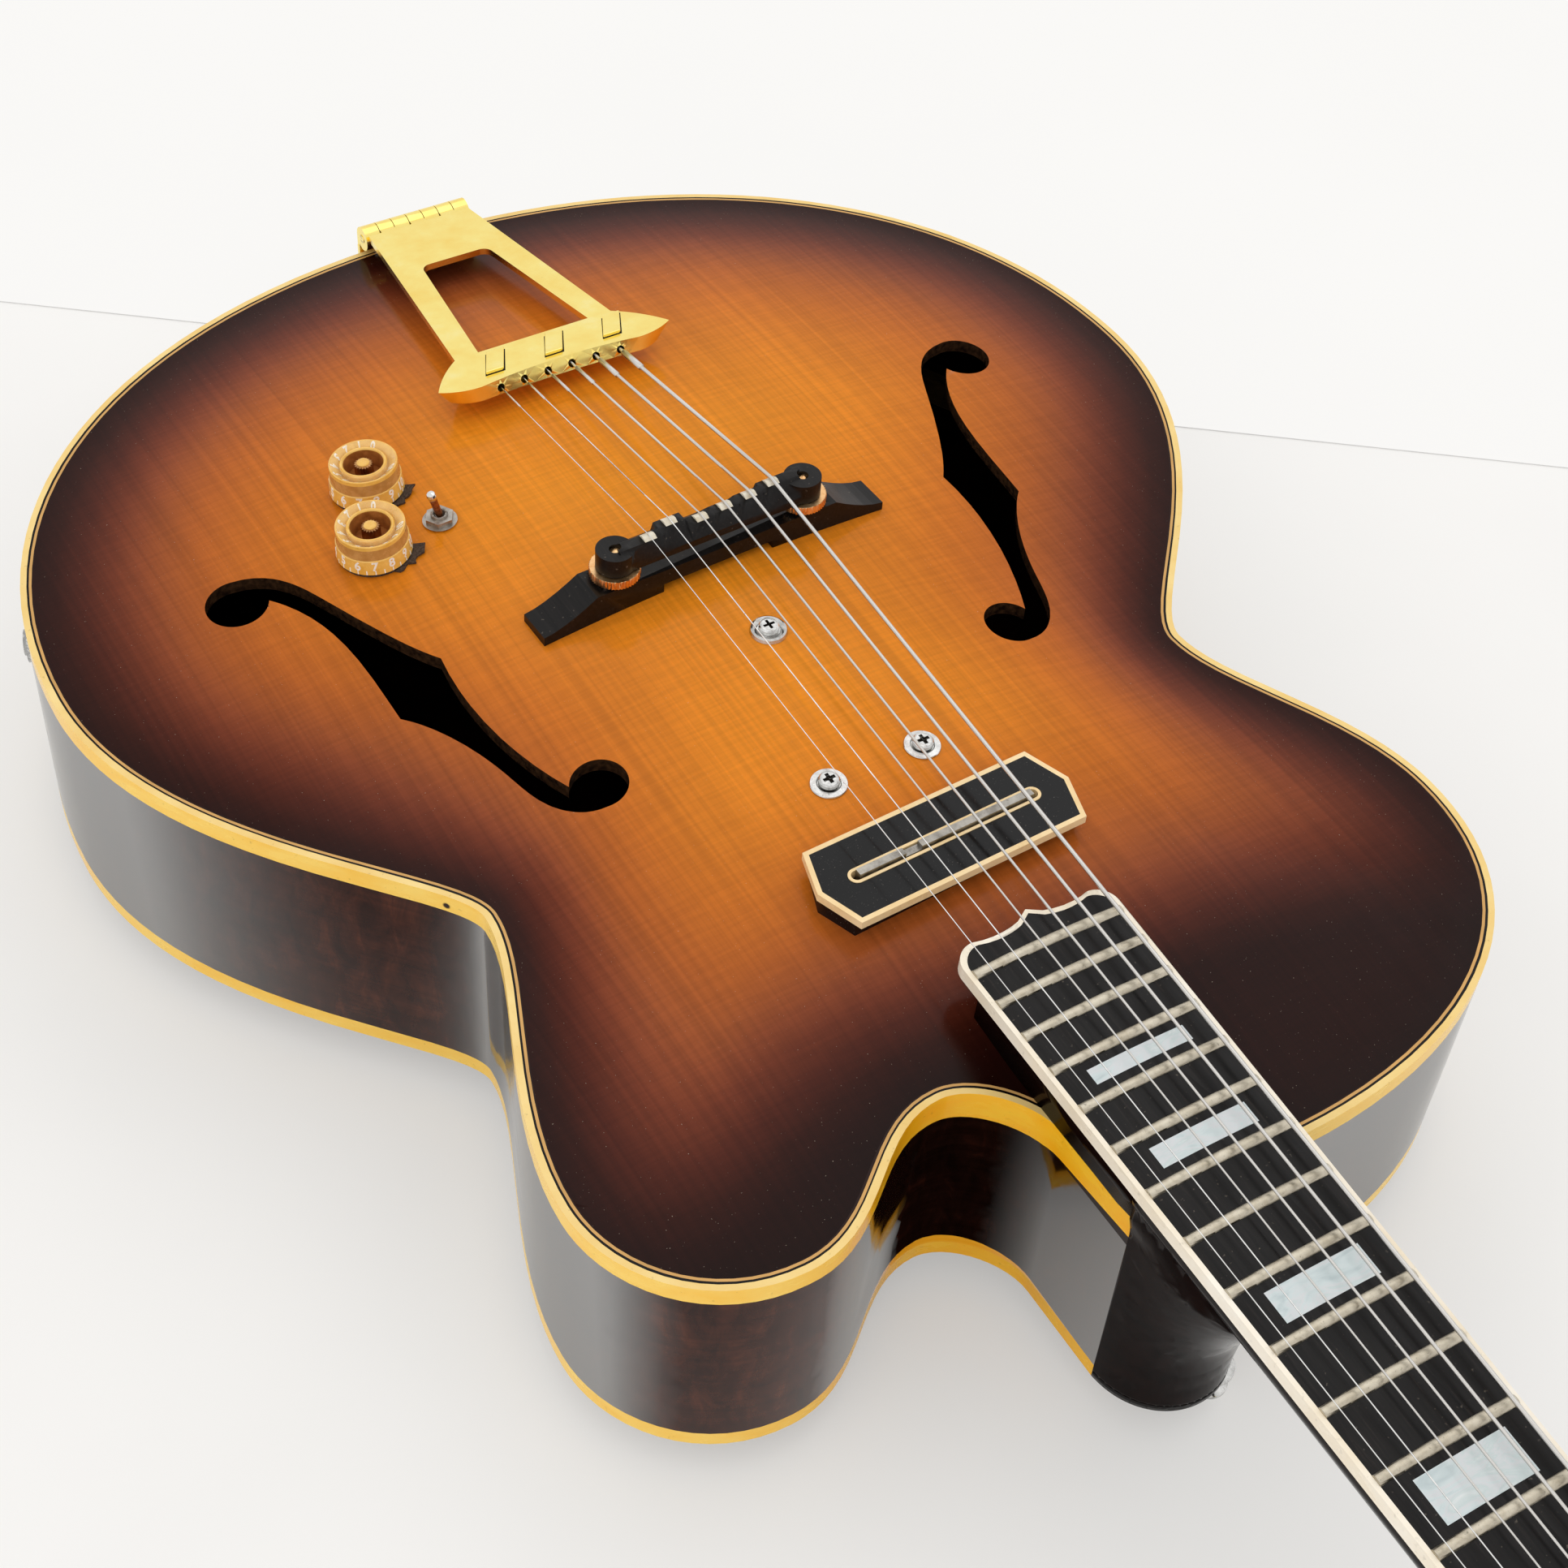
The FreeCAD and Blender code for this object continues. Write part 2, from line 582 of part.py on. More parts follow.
screw_rows = []
for across in (-size("leaf_screw_spread") / 2, size("leaf_screw_spread") / 2):
    for drop in (size("leaf_screw_drop"), size("leaf_screw_drop") + size("leaf_screw_spread")):
        screw_rows.append(Placement(
            Vector(across, -size("tail_reach") - size("leaf_thickness"), -drop),
            Rotation(Z_AXIS, Vector(0, -1, 0))))
leaf_hole = cylinder(size("leaf_screw_radius"), 2 * size("leaf_screw_length"),
                     Vector(0, 0, -size("leaf_screw_length")))
leaf_holes = [placed(leaf_hole, place) for place in screw_rows]

# Body shell
cutaway_low = size("binding_height") + size("cutaway_binding_drop")


def top_binding_shape():
    """The outer binding, which grows taller into the cutaway."""
    width = size("binding_width")
    band = outline_ring(0, width, -size("binding_height"), 0)
    deep = outline_ring(0, width, -cutaway_low, 0)
    reach = size("valley_reach") + width
    across = size("horn_across")
    wedge = Part.Face(Part.makePolygon([
        Vector(across, -reach, 0), Vector(across, -reach, -size("binding_height")),
        Vector(0, -reach, -cutaway_low), Vector(0, -reach, 0), Vector(across, -reach, 0),
    ])).extrude(Vector(0, reach - size("joint_line"), 0))
    left_of = box_between(Vector(0, -reach, -cutaway_low - 1), Vector(across, 0, 1))
    return joined([band, deep.common(wedge).common(left_of)])


binding_shape = top_binding_shape()
back_binding_shape = outline_ring(0, size("binding_width"), -DEPTH,
                                  -DEPTH + size("back_binding_height"))
GLUE = size("glue_line")
rim_shape = outline_ring(0, size("rim_wall"), -DEPTH + THICK + GLUE, -THICK - GLUE)
rim_shape = rim_shape.cut(binding_shape).cut(back_binding_shape)
jack_hole = cylinder(size("jack_barrel") + size("jack_clearance"), BELOW, Vector(0, 0, -BELOW / 2))
jack_hole.Placement = jack_place
pin_hole = cylinder(size("button_shank") + size("pin_clearance"), BELOW, Vector(0, 0, -BELOW * 0.7))
pin_hole.Placement = end_pin_place
solid_piece("rim_sides", rim_shape.cut([jack_hole, pin_hole] + leaf_holes))
solid_piece("top_binding", binding_shape)
solid_piece("back_binding", back_binding_shape)

purfling_shape = outline_ring(size("binding_width"),
                              size("binding_width") + size("purfling_width"),
                              -size("purfling_depth"), 0)
solid_piece("top_purfling", purfling_shape)

plate_edge = outline_prism(size("binding_width"), -BELOW, BELOW)
purfling_channel = outline_ring(size("binding_width"),
                                size("binding_width") + size("purfling_width"),
                                -size("purfling_depth"), THICK)


def through(radius, place):
    """A round hole through the top at a place."""
    hole = cylinder(radius, 4 * THICK, Vector(0, 0, -2.5 * THICK))
    hole.Placement = place
    return hole


blade_room = size("blade_width") / 2 + size("blade_room")
blade_slot = box_between(
    Vector(-size("blade_half") - size("blade_room"), -blade_room, -BELOW),
    Vector(size("blade_half") + size("blade_room"), blade_room, BELOW))
blade_slot.Placement = pickup_place
top_cuts = [sound_hole(1), sound_hole(-1), purfling_channel, blade_slot]
for seat in screw_places:
    top_cuts.append(through(size("screw_radius") + size("screw_clearance"), seat))
for seat in (volume_place, tone_place):
    top_cuts.append(through(size("pot_bushing") + size("pot_clearance"), seat))
top_cuts.append(through(size("switch_bushing") + size("pot_clearance"), switch_place))
solid_piece("top_plate", under_top.common(plate_edge).cut(top_cuts))
back_edge = outline_prism(size("binding_width"), -2 * DEPTH, 0)
solid_piece("back_plate", over_back.common(back_edge))

wall = size("rim_wall")
neck_block_zone = box_between(
    Vector(-size("block_half"), -size("joint_line") - size("block_depth"), -DEPTH),
    Vector(size("block_half"), 0, 0))
tail_block_zone = box_between(
    Vector(-size("block_half"), -size("tail_reach"), -DEPTH),
    Vector(size("block_half"), -size("tail_reach") + size("tail_block_depth"), 0))
inner_space = outline_prism(wall, -DEPTH + THICK + GLUE, -THICK - GLUE)
neck_block = inner_space.common(neck_block_zone)
tail_block = inner_space.common(tail_block_zone)
solid_piece("end_blocks", Part.makeCompound([neck_block, tail_block.cut([pin_hole] + leaf_holes)]))


def lining(low, high):
    """One kerfed strip between the end blocks, as its bass and treble runs."""
    ring = outline_ring(wall, wall + size("lining_width"), low, high)
    return ring.cut([neck_block_zone, tail_block_zone])


top_lining = lining(-THICK - GLUE - size("lining_height"), -THICK - GLUE)
back_lining = lining(-DEPTH + THICK + GLUE,
                     -DEPTH + THICK + GLUE + size("lining_height"))
bar_stock = under_face.extrude(Vector(0, 0, -size("tone_bar_height")))


def tone_bar(sign):
    """A bar glued along the inside of the top."""
    footprint = Part.makeBox(size("tone_bar_width"), size("tone_bar_length"), 4 * BELOW,
                             Vector(-size("tone_bar_width") / 2,
                                    -size("tone_bar_length") / 2, -2 * BELOW))
    footprint.Placement = Placement(
        Vector(sign * size("tone_bar_spread"), -size("bridge_reach"), 0),
        Rotation(Z_AXIS, sign * size("tone_bar_splay")))
    return bar_stock.common(footprint)


solid_piece("linings_and_bars", Part.makeCompound(
    top_lining.Solids + back_lining.Solids + [tone_bar(1), tone_bar(-1)]))


# Fingerboard, in the neck's own frame: Z square to the board, Y along it from the joint fret
BOARD = size("board_thickness")
LAST_FRET = fret_at(size("fret_count"))
BOARD_END = LAST_FRET - size("board_overhang")


def board_half(along):
    """Half the board's width at a distance from the joint fret."""
    share = (NUT_AT - along) / (NUT_AT - LAST_FRET)
    return (size("nut_width") + (size("board_end_width") - size("nut_width")) * share) / 2


def board_prism(inset):
    """The board's outline with its scalloped end, pulled in along the sides and the end."""
    corner = Vector(board_half(BOARD_END) - inset, BOARD_END + inset)
    lobe = Vector(corner.x * 0.74, corner.y - size("scallop_depth"))
    shoulder = Vector(corner.x * 0.92, corner.y - size("scallop_depth") * 0.72)
    dip = Vector(corner.x * 0.45, lobe.y + size("scallop_depth") * 0.2)
    inner = Vector(corner.x * 0.16, lobe.y + size("scallop_depth") * 0.02)
    tip = Vector(0, corner.y - size("scallop_point"))
    nut = Vector(board_half(NUT_AT) - inset, NUT_AT)

    def other(point):
        return Vector(-point.x, point.y)

    edges = [Part.LineSegment(other(nut), nut), Part.LineSegment(nut, corner)]
    for turn in (lambda point: point, other):
        edges.append(Part.Arc(turn(corner), turn(shoulder), turn(lobe)))
        edges.append(Part.Arc(turn(lobe), turn(dip), turn(inner)))
        edges.append(Part.LineSegment(turn(inner), tip))
    edges.append(Part.LineSegment(other(corner), other(nut)))
    return prism_of([edge.toShape() for edge in edges], -BOARD, BOARD)


def board_round(radius, start, end):
    """The drum that the board's crown is part of."""
    return cylinder(radius, end - start, Vector(0, start, -size("board_radius")), Y_AXIS)


crown = board_round(size("board_radius"), BOARD_END - 2 * BOARD, NUT_AT + BOARD)
board_outer = board_prism(0).common(crown)
board_inner = board_prism(size("board_binding"))
INLAY_FRETS = (1, 3, 5, 7, 9, 12, 15, 17)


def inlay_block(fret, low, high):
    """The block set between a fret and the one before it."""
    start, end = fret_at(fret) + size("inlay_margin"), fret_at(fret - 1) - size("inlay_margin")
    half = board_half((start + end) / 2) * size("inlay_share")
    return box_between(Vector(-half, start, low), Vector(half, end, high))


pockets = [inlay_block(fret, -2 * size("inlay_depth"), BOARD) for fret in INLAY_FRETS]
solid_piece("fingerboard", board_outer.common(board_inner).cut(pockets), neck_place)
board_band = placed(board_outer.cut(board_inner), neck_place)
inlays = [block.common(crown) for block in pockets]
solid_piece("fingerboard_inlays", Part.makeCompound(inlays), neck_place)


def fret_wire(fret):
    """One fret: a bead bent over the board's crown, cut off flush with its face."""
    along = fret_at(fret)
    bead = size("fret_bead")
    ring = Part.makeTorus(size("board_radius") + size("fret_height") - bead, bead,
                          Vector(0, along, -size("board_radius")), Y_AXIS)
    half = board_half(along) - size("board_binding")
    zone = box_between(Vector(-half, along - 2 * bead, -BOARD), Vector(half, along + 2 * bead, BOARD))
    face = board_round(size("board_radius"), along - 2 * bead, along + 2 * bead)
    return ring.common(zone).cut(face)


frets = [fret_wire(fret) for fret in range(1, int(size("fret_count")) + 1)]
solid_piece("frets", Part.makeCompound(frets), neck_place)


# Neck, heel and headstock in one piece of wood
def round_section(half, top, depth, along):
    """A neck section across Y: flat on top, round below."""
    left, right = Vector(-half, along, top), Vector(half, along, top)
    drop = Z_AXIS * (depth / 0.75)
    curve = Part.BezierCurve()
    curve.setPoles([left, left - drop, right - drop, right])
    return Part.Wire([Part.LineSegment(right, left).toShape(), curve.toShape()])


def heel_section(level, half, length):
    """A heel section at a height: flat against the rim, round towards the head."""
    back = -size("joint_line")
    left, right = Vector(-half, back, level), Vector(half, back, level)
    reach = Y_AXIS * (length / 0.75)
    curve = Part.BezierCurve()
    curve.setPoles([left, left + reach, right + reach, right])
    return Part.Wire([Part.LineSegment(right, left).toShape(), curve.toShape()])


NECK_END = NUT_AT + size("nut_length")
VENEER = size("veneer_thickness")
HEAD_BACK = VENEER + size("head_thickness")
CAP_TOP = -DEPTH + size("heel_cap_thickness")
HEEL_STEPS = 6


def heel_at(level):
    """Half width and length of the heel at a height between its cap and its root."""
    share = (level - CAP_TOP) / (-size("heel_root_drop") - CAP_TOP)
    half = size("heel_half") + (size("heel_root_half") - size("heel_half")) * share
    length = size("heel_length") + (size("heel_root_length") - size("heel_length")) * share**2.6
    return half, length


def heel_shape():
    """The heel below its root, and the root's cheeks that run up into the shaft."""
    root = -size("heel_root_drop")
    levels = []
    for step in range(HEEL_STEPS + 1):
        level = CAP_TOP + (root - CAP_TOP) * step / HEEL_STEPS
        levels.append(heel_section(level, *heel_at(level)))
    cheeks = [levels[-1]]
    for share in (0.5, 1.0):
        level = root + size("heel_cheek_height") * share
        length = size("heel_root_length") * (1 - size("heel_cheek_lean") * share)
        cheeks.append(heel_section(level, size("heel_root_half"), length))
    return [Part.makeLoft(levels, True, False), Part.makeLoft(cheeks, True, True)]


# Room for the fingerboard and the nut
board_seat = placed(box_between(Vector(-BELOW, -size("joint_line"), -BOARD),
                                Vector(BELOW, NECK_END, BELOW)), neck_place)
head_seat = placed(board_seat, head_place.inverse())


def head_edges(inset):
    """The headstock's outline: flared sides and one round crown."""
    length, top = size("head_length") - inset, size("head_half_top") - inset
    nut = Vector(size("head_half_nut") - inset, 0)
    flare = Vector(top, length * 0.6)
    ear = Vector(top - inset, length - size("head_crown"))
    side = Part.BezierCurve()
    side.setPoles([nut, Vector(nut.x + 1, length * 0.22), Vector(top, length * 0.32), flare])
    other_side = Part.BezierCurve()
    other_side.setPoles([Vector(-pole.x, pole.y) for pole in side.getPoles()])

    def other(point):
        return Vector(-point.x, point.y)

    return [
        side.toShape(), Part.LineSegment(flare, ear).toShape(),
        Part.Arc(ear, Vector(0, length), other(ear)).toShape(),
        Part.LineSegment(other(ear), other(flare)).toShape(), other_side.toShape(),
        Part.LineSegment(other(nut), nut).toShape(),
    ]


def tuner_spots():
    """Each string's machine: string number, side, distance across and along the headstock."""
    spots = []
    for side, numbers in ((1, (1, 2, 3)), (-1, (6, 5, 4))):
        for step, string in enumerate(numbers):
            across = side * (size("tuner_half_first") + step * size("tuner_half_step"))
            spots.append((string, side, across, size("tuner_first") + step * size("tuner_step")))
    return sorted(spots)


TUNERS = tuner_spots()


def neck_shape():
    """Shaft, heel, raised tongue and headstock, joined."""
    shaft_start = -2 * size("joint_line")
    shaft = Part.makeLoft([
        round_section(board_half(shaft_start), -BOARD, size("neck_depth_heel"), shaft_start),
        round_section(board_half(NECK_END), -BOARD, size("neck_depth_nut"), NECK_END),
    ], True, True)
    scarf_start, scarf_end = NUT_AT - size("scarf_start"), size("scarf_end")
    scarf = Part.makeLoft([
        round_section(board_half(scarf_start), -BOARD, size("neck_depth_nut"), scarf_start),
        placed(round_section(size("head_half_nut"), -VENEER, size("head_thickness"),
                             scarf_end), neck_place.inverse().multiply(head_place)),
    ], True, True)
    half = board_half(0) - size("riser_inset")
    tongue = box_between(Vector(-half, BOARD_END + 2 * size("riser_inset"), -BELOW),
                         Vector(half, 0, -BOARD))
    over_rim = box_between(Vector(-BELOW, -4 * BELOW, 0), Vector(BELOW, BELOW, BELOW))
    before_body = box_between(Vector(-BELOW, -4 * BELOW, -4 * BELOW),
                              Vector(BELOW, -size("joint_line"), BELOW))
    head = prism_of(head_edges(0), -HEAD_BACK, -VENEER)
    for string, side, across, along in TUNERS:
        head = head.cut(cylinder(size("bushing_radius"), HEAD_BACK, Vector(across, along, -HEAD_BACK)))
    wood = joined([
        placed(shaft, neck_place).cut(before_body), placed(scarf, neck_place),
        placed(tongue, neck_place).common(over_rim).cut(below_top), placed(head, head_place),
    ] + heel_shape())
    rod = cylinder(size("truss_rod_radius"), size("truss_rod_length"),
                   Vector(0, NUT_AT - size("truss_rod_length"), -BOARD - size("truss_rod_depth")),
                   Y_AXIS)
    return wood.cut([placed(rod, neck_place), heel_button_hole, board_seat]), rod


heel_button_place = Placement(
    Vector(-size("heel_button_across"), size("heel_button_reach"), -DEPTH - size("button_seat")),
    Rotation(Z_AXIS, -Z_AXIS))
heel_button_hole = placed(
    cylinder(size("button_shank") + size("pin_clearance"), 2 * size("button_shank_length"),
             Vector(0, 0, -size("button_shank_length"))), heel_button_place)
wood, rod = neck_shape()
solid_piece("neck", wood)
solid_piece("truss_rod", rod, neck_place)
cap_face = Part.Face(heel_section(-DEPTH, size("heel_half"), size("heel_length")))
cap = cap_face.extrude(Vector(0, 0, size("heel_cap_thickness")))
solid_piece("heel_cap", cap.cut(heel_button_hole))

veneer = prism_of(head_edges(size("head_binding")), -VENEER, 0)
edge_band = prism_of(head_edges(0), -VENEER, 0).cut(veneer)
bores = [cylinder(size("bushing_radius"), 2 * VENEER, Vector(across, along, -1.5 * VENEER))
         for string, side, across, along in TUNERS]
solid_piece("headstock_veneer", veneer.cut(bores + [head_seat]), head_place)
solid_piece("neck_bindings",
            Part.makeCompound([board_band, placed(edge_band.cut(bores + [head_seat]), head_place)]))

COVER_AT = size("cover_start")
cover = padded("truss_rod_cover", [
    ("-cover_half", "cover_start"), ("cover_half", "cover_start"),
    ("cover_half * 0.9", "cover_start + cover_length * 0.4"),
    ("cover_half * 0.45", "cover_start + cover_length * 0.8"),
    ("0", "cover_start + cover_length"),
    ("-cover_half * 0.45", "cover_start + cover_length * 0.8"),
    ("-cover_half * 0.9", "cover_start + cover_length * 0.4"),
], "cover_thickness", head_place)
keep(cover, "truss_rod_cover")
cover_screw = turned("cover_screw", [
    ("0", "0"), ("cover_screw_radius", "0"), ("cover_screw_radius * 0.6", "cover_screw_radius * 0.5"),
    ("0", "cover_screw_radius * 0.6")])
cover_spots = [(-size("cover_half") * 0.7, COVER_AT + size("cover_margin")),
               (size("cover_half") * 0.7, COVER_AT + size("cover_margin")),
               (0, COVER_AT + size("cover_length") * 0.82)]
cover_screws = copies(cover_screw, [
    head_place * Placement(Vector(across, along, size("cover_thickness")), Rotation())
    for across, along in cover_spots])


# Strings: where each one crosses the tailpiece, the saddle and the nut
STRINGS = range(1, 7)
COMPENSATION = (1.4, -2.0, 1.6, 0.6, -0.1, -1.7)
WHEEL_LOW = size("base_height") + size("wheel_lift")
SADDLE_LOW = WHEEL_LOW + size("wheel_thickness") + size("saddle_gap")
SADDLE_TOP = SADDLE_LOW + size("saddle_height")
HOLE_LEVEL = size("bar_height") / 4


def spread(string, span):
    """Distance across of a string in an even spread, treble side first."""
    return span / 2 - (string - 1) * span / 5


def gauge(string):
    return size("string_%d" % string)


def nut_point(string):
    """Middle of the string over the nut's front edge, in the neck's frame."""
    across = spread(string, size("nut_spread"))
    return Vector(across, NUT_AT, size("string_over_nut") + gauge(string) / 2)


def saddle_point(string):
    """Middle of the string over its saddle insert, in the bridge's frame."""
    lift = SADDLE_TOP + gauge(string) / 2 + size("saddle_clearance")
    return Vector(spread(string, size("saddle_spread")), COMPENSATION[string - 1], lift)


def tail_point(string, along):
    """Middle of the string at a distance from the hinge, in the tailpiece's frame."""
    return Vector(spread(string, size("tail_spread")), along, HOLE_LEVEL)


# Tuning machines: a worm on each button's shaft turns the toothed foot of a post
GEAR_PITCH = size("gear_module") * size("gear_teeth") / 2
WORM_AT = GEAR_PITCH + size("worm_pitch_radius")
WORM_LEVEL = -size("gear_lift") - size("gear_face") / 2
WORM_STEP = math.pi * size("gear_module")
WORM_TIP = size("worm_pitch_radius") + size("tooth_height") - size("mesh_clearance")
ROOM = size("housing_room")
HOUSE_LOW = min(-size("gear_lift") - size("gear_face"), WORM_LEVEL - WORM_TIP) - ROOM


def tuner_place(side, across, along):
    """Foot of a post on the headstock's back, with X pointing out to its button."""
    turn = Rotation(Z_AXIS, 0 if side > 0 else 180)
    return head_place * Placement(Vector(across, along, -HEAD_BACK), turn)


def post_shape():
    """String post with its toothed foot."""
    foot = -size("gear_lift") - size("gear_face")
    top = HEAD_BACK + size("post_top")
    stem = cylinder(size("post_radius"), top - foot, Vector(0, 0, foot))
    wheel = cylinder(GEAR_PITCH + size("tooth_height"), size("gear_face"), Vector(0, 0, foot))
    gaps = []
    depth = GEAR_PITCH - size("tooth_depth")
    for tooth in range(int(size("gear_teeth"))):
        gap = Part.makeBox(size("gear_gap"), GEAR_PITCH, 2 * size("gear_face"),
                           Vector(-size("gear_gap") / 2, depth, foot - size("gear_face") / 2))
        gap.rotate(Vector(0, 0, 0), Z_AXIS, tooth * 360 / size("gear_teeth"))
        gaps.append(gap)
    hole = cylinder(size("post_radius") / 3, 4 * size("post_radius"),
                    Vector(-2 * size("post_radius"), 0, top - size("post_radius") / 2), X_AXIS)
    return stem.fuse(wheel.cut(gaps)).removeSplitter().cut(hole)


def turn_to(first, second, third):
    """The turn that carries X, Y and Z onto three directions."""
    return FreeCAD.Matrix(first.x, second.x, third.x, 0, first.y, second.y, third.y, 0,
                          first.z, second.z, third.z, 0, 0, 0, 0, 1)


def worm_shape():
    """One helical thread on its core, along X."""
    length = size("worm_turns") * WORM_STEP
    helix = Part.makeHelix(WORM_STEP, length, size("worm_core"))
    root, tip = size("worm_core") - size("thread_sink"), WORM_TIP
    profile = Part.makePolygon([
        Vector(root, 0, -size("thread_base") / 2), Vector(tip, 0, -size("thread_tip") / 2),
        Vector(tip, 0, size("thread_tip") / 2), Vector(root, 0, size("thread_base") / 2),
        Vector(root, 0, -size("thread_base") / 2)])
    thread = Part.Wire(helix).makePipeShell([profile], True, True)
    core = cylinder(size("worm_core"), size("worm_length"),
                    Vector(0, 0, (length - size("worm_length")) / 2))
    worm = core.fuse(thread).removeSplitter()
    lay = turn_to(Vector(0, -1, 0), Vector(0, 0, -1), X_AXIS)
    worm.translate(Vector(0, 0, -length / 2))
    worm.Placement = Placement(lay).multiply(worm.Placement)
    return worm


HOUSE_HALF = size("worm_length") / 2 + ROOM
HOUSE_OUT = HOUSE_HALF + size("housing_wall")


def button_shape(reach):
    """Worm, shaft and grip of one button; the grip's middle is a distance out from the post."""
    worm = worm_shape()
    worm.translate(Vector(0, WORM_AT, WORM_LEVEL))
    axis = Vector(0, WORM_AT, WORM_LEVEL)
    grip_start = reach - size("button_length") / 2
    pivot = cylinder(size("shaft_radius"), HOUSE_OUT - size("worm_length") / 2,
                     axis - X_AXIS * HOUSE_OUT, X_AXIS)
    shaft = cylinder(size("shaft_radius"), grip_start - size("worm_length") / 2,
                     axis + X_AXIS * size("worm_length") / 2, X_AXIS)
    collar_at = HOUSE_OUT + ROOM
    collar = cylinder(size("button_stem"), grip_start + size("button_stem") - collar_at,
                      axis + X_AXIS * collar_at, X_AXIS)
    oval = Part.Ellipse(Vector(0, 0, 0), size("button_half"), size("button_length") / 2)
    grip = Part.Face(Part.Wire(oval.toShape())).extrude(Vector(0, 0, size("button_thickness")))
    grip = grip.makeFillet(size("button_thickness") * 0.3, grip.Edges)
    grip.Placement = Placement(axis + X_AXIS * reach - Z_AXIS * size("button_thickness") / 2,
                               Rotation(Z_AXIS, 90))
    return worm.multiFuse([pivot, shaft, collar, grip]).removeSplitter()


def housing_shape():
    """The case round a worm and its wheel, open against the headstock."""
    back = -GEAR_PITCH - size("tooth_height") - ROOM
    front = WORM_AT + WORM_TIP + ROOM
    half = max(HOUSE_HALF, GEAR_PITCH + size("tooth_height") + ROOM)
    wall = size("housing_wall")
    outer = box_between(Vector(-half - wall, back - wall, HOUSE_LOW - wall),
                        Vector(half + wall, front + wall, 0))
    inner = box_between(Vector(-half, back, HOUSE_LOW), Vector(half, front, wall))
    bore = cylinder(size("shaft_radius") + size("shaft_clearance"), 6 * half,
                    Vector(-3 * half, WORM_AT, WORM_LEVEL), X_AXIS)
    return outer.cut(inner).cut(bore)


bushing = turned("bushing", [
    ("post_radius + post_clearance", "0"), ("bushing_radius", "0"),
    ("bushing_radius", "head_thickness + veneer_thickness"),
    ("bushing_flange", "head_thickness + veneer_thickness"),
    ("bushing_flange", "head_thickness + veneer_thickness + bushing_flange_height * 0.6"),
    ("bushing_flange * 0.85", "head_thickness + veneer_thickness + bushing_flange_height"),
    ("post_radius + post_clearance", "head_thickness + veneer_thickness + bushing_flange_height"),
])
machine_places = {string: tuner_place(side, across, along)
                  for string, side, across, along in TUNERS}
solid_piece("tuner_bushings", Part.makeCompound(copies(bushing, machine_places.values())))
case = housing_shape()
solid_piece("tuner_housings",
            Part.makeCompound([placed(case, place) for place in machine_places.values()]))
post = post_shape()
for string, side, across, along in TUNERS:
    reach = size("button_out") - abs(across)
    solid_piece("tuner_post_%d" % string, post.copy(), machine_places[string])
    solid_piece("tuner_button_%d" % string, button_shape(reach), machine_places[string])


# Bridge: a base fitted to the arch, two posts with thumbwheels, and a stepped saddle
def along_y(corners, start, end):
    """An outline across X and up Z, extended along Y."""
    points = [Vector(across, start, up) for across, up in corners]
    face = Part.Face(Part.makePolygon(points + points[:1]))
    return face.extrude(Vector(0, end - start, 0))


def along_x(corners, start, end):
    """An outline along Y and up Z, extended along X."""
    points = [Vector(start, along, up) for along, up in corners]
    face = Part.Face(Part.makePolygon(points + points[:1]))
    return face.extrude(Vector(end - start, 0, 0))


post_spots = [Vector(-size("post_spread") / 2, 0, 0), Vector(size("post_spread") / 2, 0, 0)]


WING_STEPS = 5


def bridge_base_shape():
    """A block with dished wings that run out thin, hollow between its feet."""
    half, flat = size("base_length") / 2, size("base_flat") / 2
    deep, end = -size("top_arch"), size("base_end_height")
    fall = size("base_height") - end
    wing = []
    for step in range(WING_STEPS + 1):
        share = step / WING_STEPS
        wing.append((half + (flat - half) * share, end + fall * share ** size("base_dish")))
    block = along_y([(-half, deep), (half, deep)] + wing
                    + [(-across, height) for across, height in reversed(wing)],
                    -size("base_width") / 2, size("base_width") / 2)
    gap = size("base_gap") / 2
    block = block.cut(box_between(Vector(-gap, -size("base_width"), deep - 1),
                                  Vector(gap, size("base_width"), size("base_gap_height"))))
    sink = size("base_height") - size("bridge_post_sink")
    for spot in post_spots:
        block = block.cut(cylinder(size("bridge_post_radius"), size("bridge_post_sink") + 1,
                                   spot + Z_AXIS * sink))
    return placed(block, bridge_place).cut(below_top)


solid_piece("bridge_base", bridge_base_shape())
bridge_post = turned("bridge_post", [
    ("0", "base_height - bridge_post_sink"),
    ("bridge_post_radius", "base_height - bridge_post_sink"),
    ("bridge_post_radius", "base_height - bridge_post_sink + bridge_post_height"),
    ("0", "base_height - bridge_post_sink + bridge_post_height")])
solid_piece("bridge_posts", Part.makeCompound(
    copies(bridge_post, [bridge_place * Placement(spot, Rotation()) for spot in post_spots])))


def thumbwheel_shape():
    """A knurled wheel with its bore."""
    teeth = int(size("wheel_teeth"))
    points = []
    for step in range(2 * teeth):
        radius = size("wheel_radius") - (step % 2) * size("wheel_radius") * 0.04
        turn = math.pi * step / teeth
        points.append(Vector(radius * math.cos(turn), radius * math.sin(turn), WHEEL_LOW))
    wheel = Part.Face(Part.makePolygon(points + points[:1]))
    wheel = wheel.extrude(Vector(0, 0, size("wheel_thickness")))
    return wheel.cut(cylinder(size("bridge_post_radius") + size("bridge_clearance"),
                              SADDLE_TOP, Vector(0, 0, 0)))


wheel = thumbwheel_shape()
for name, spot in (("thumbwheel_bass", post_spots[0]), ("thumbwheel_treble", post_spots[1])):
    solid_piece(name, wheel.copy(), bridge_place * Placement(spot, Rotation()))


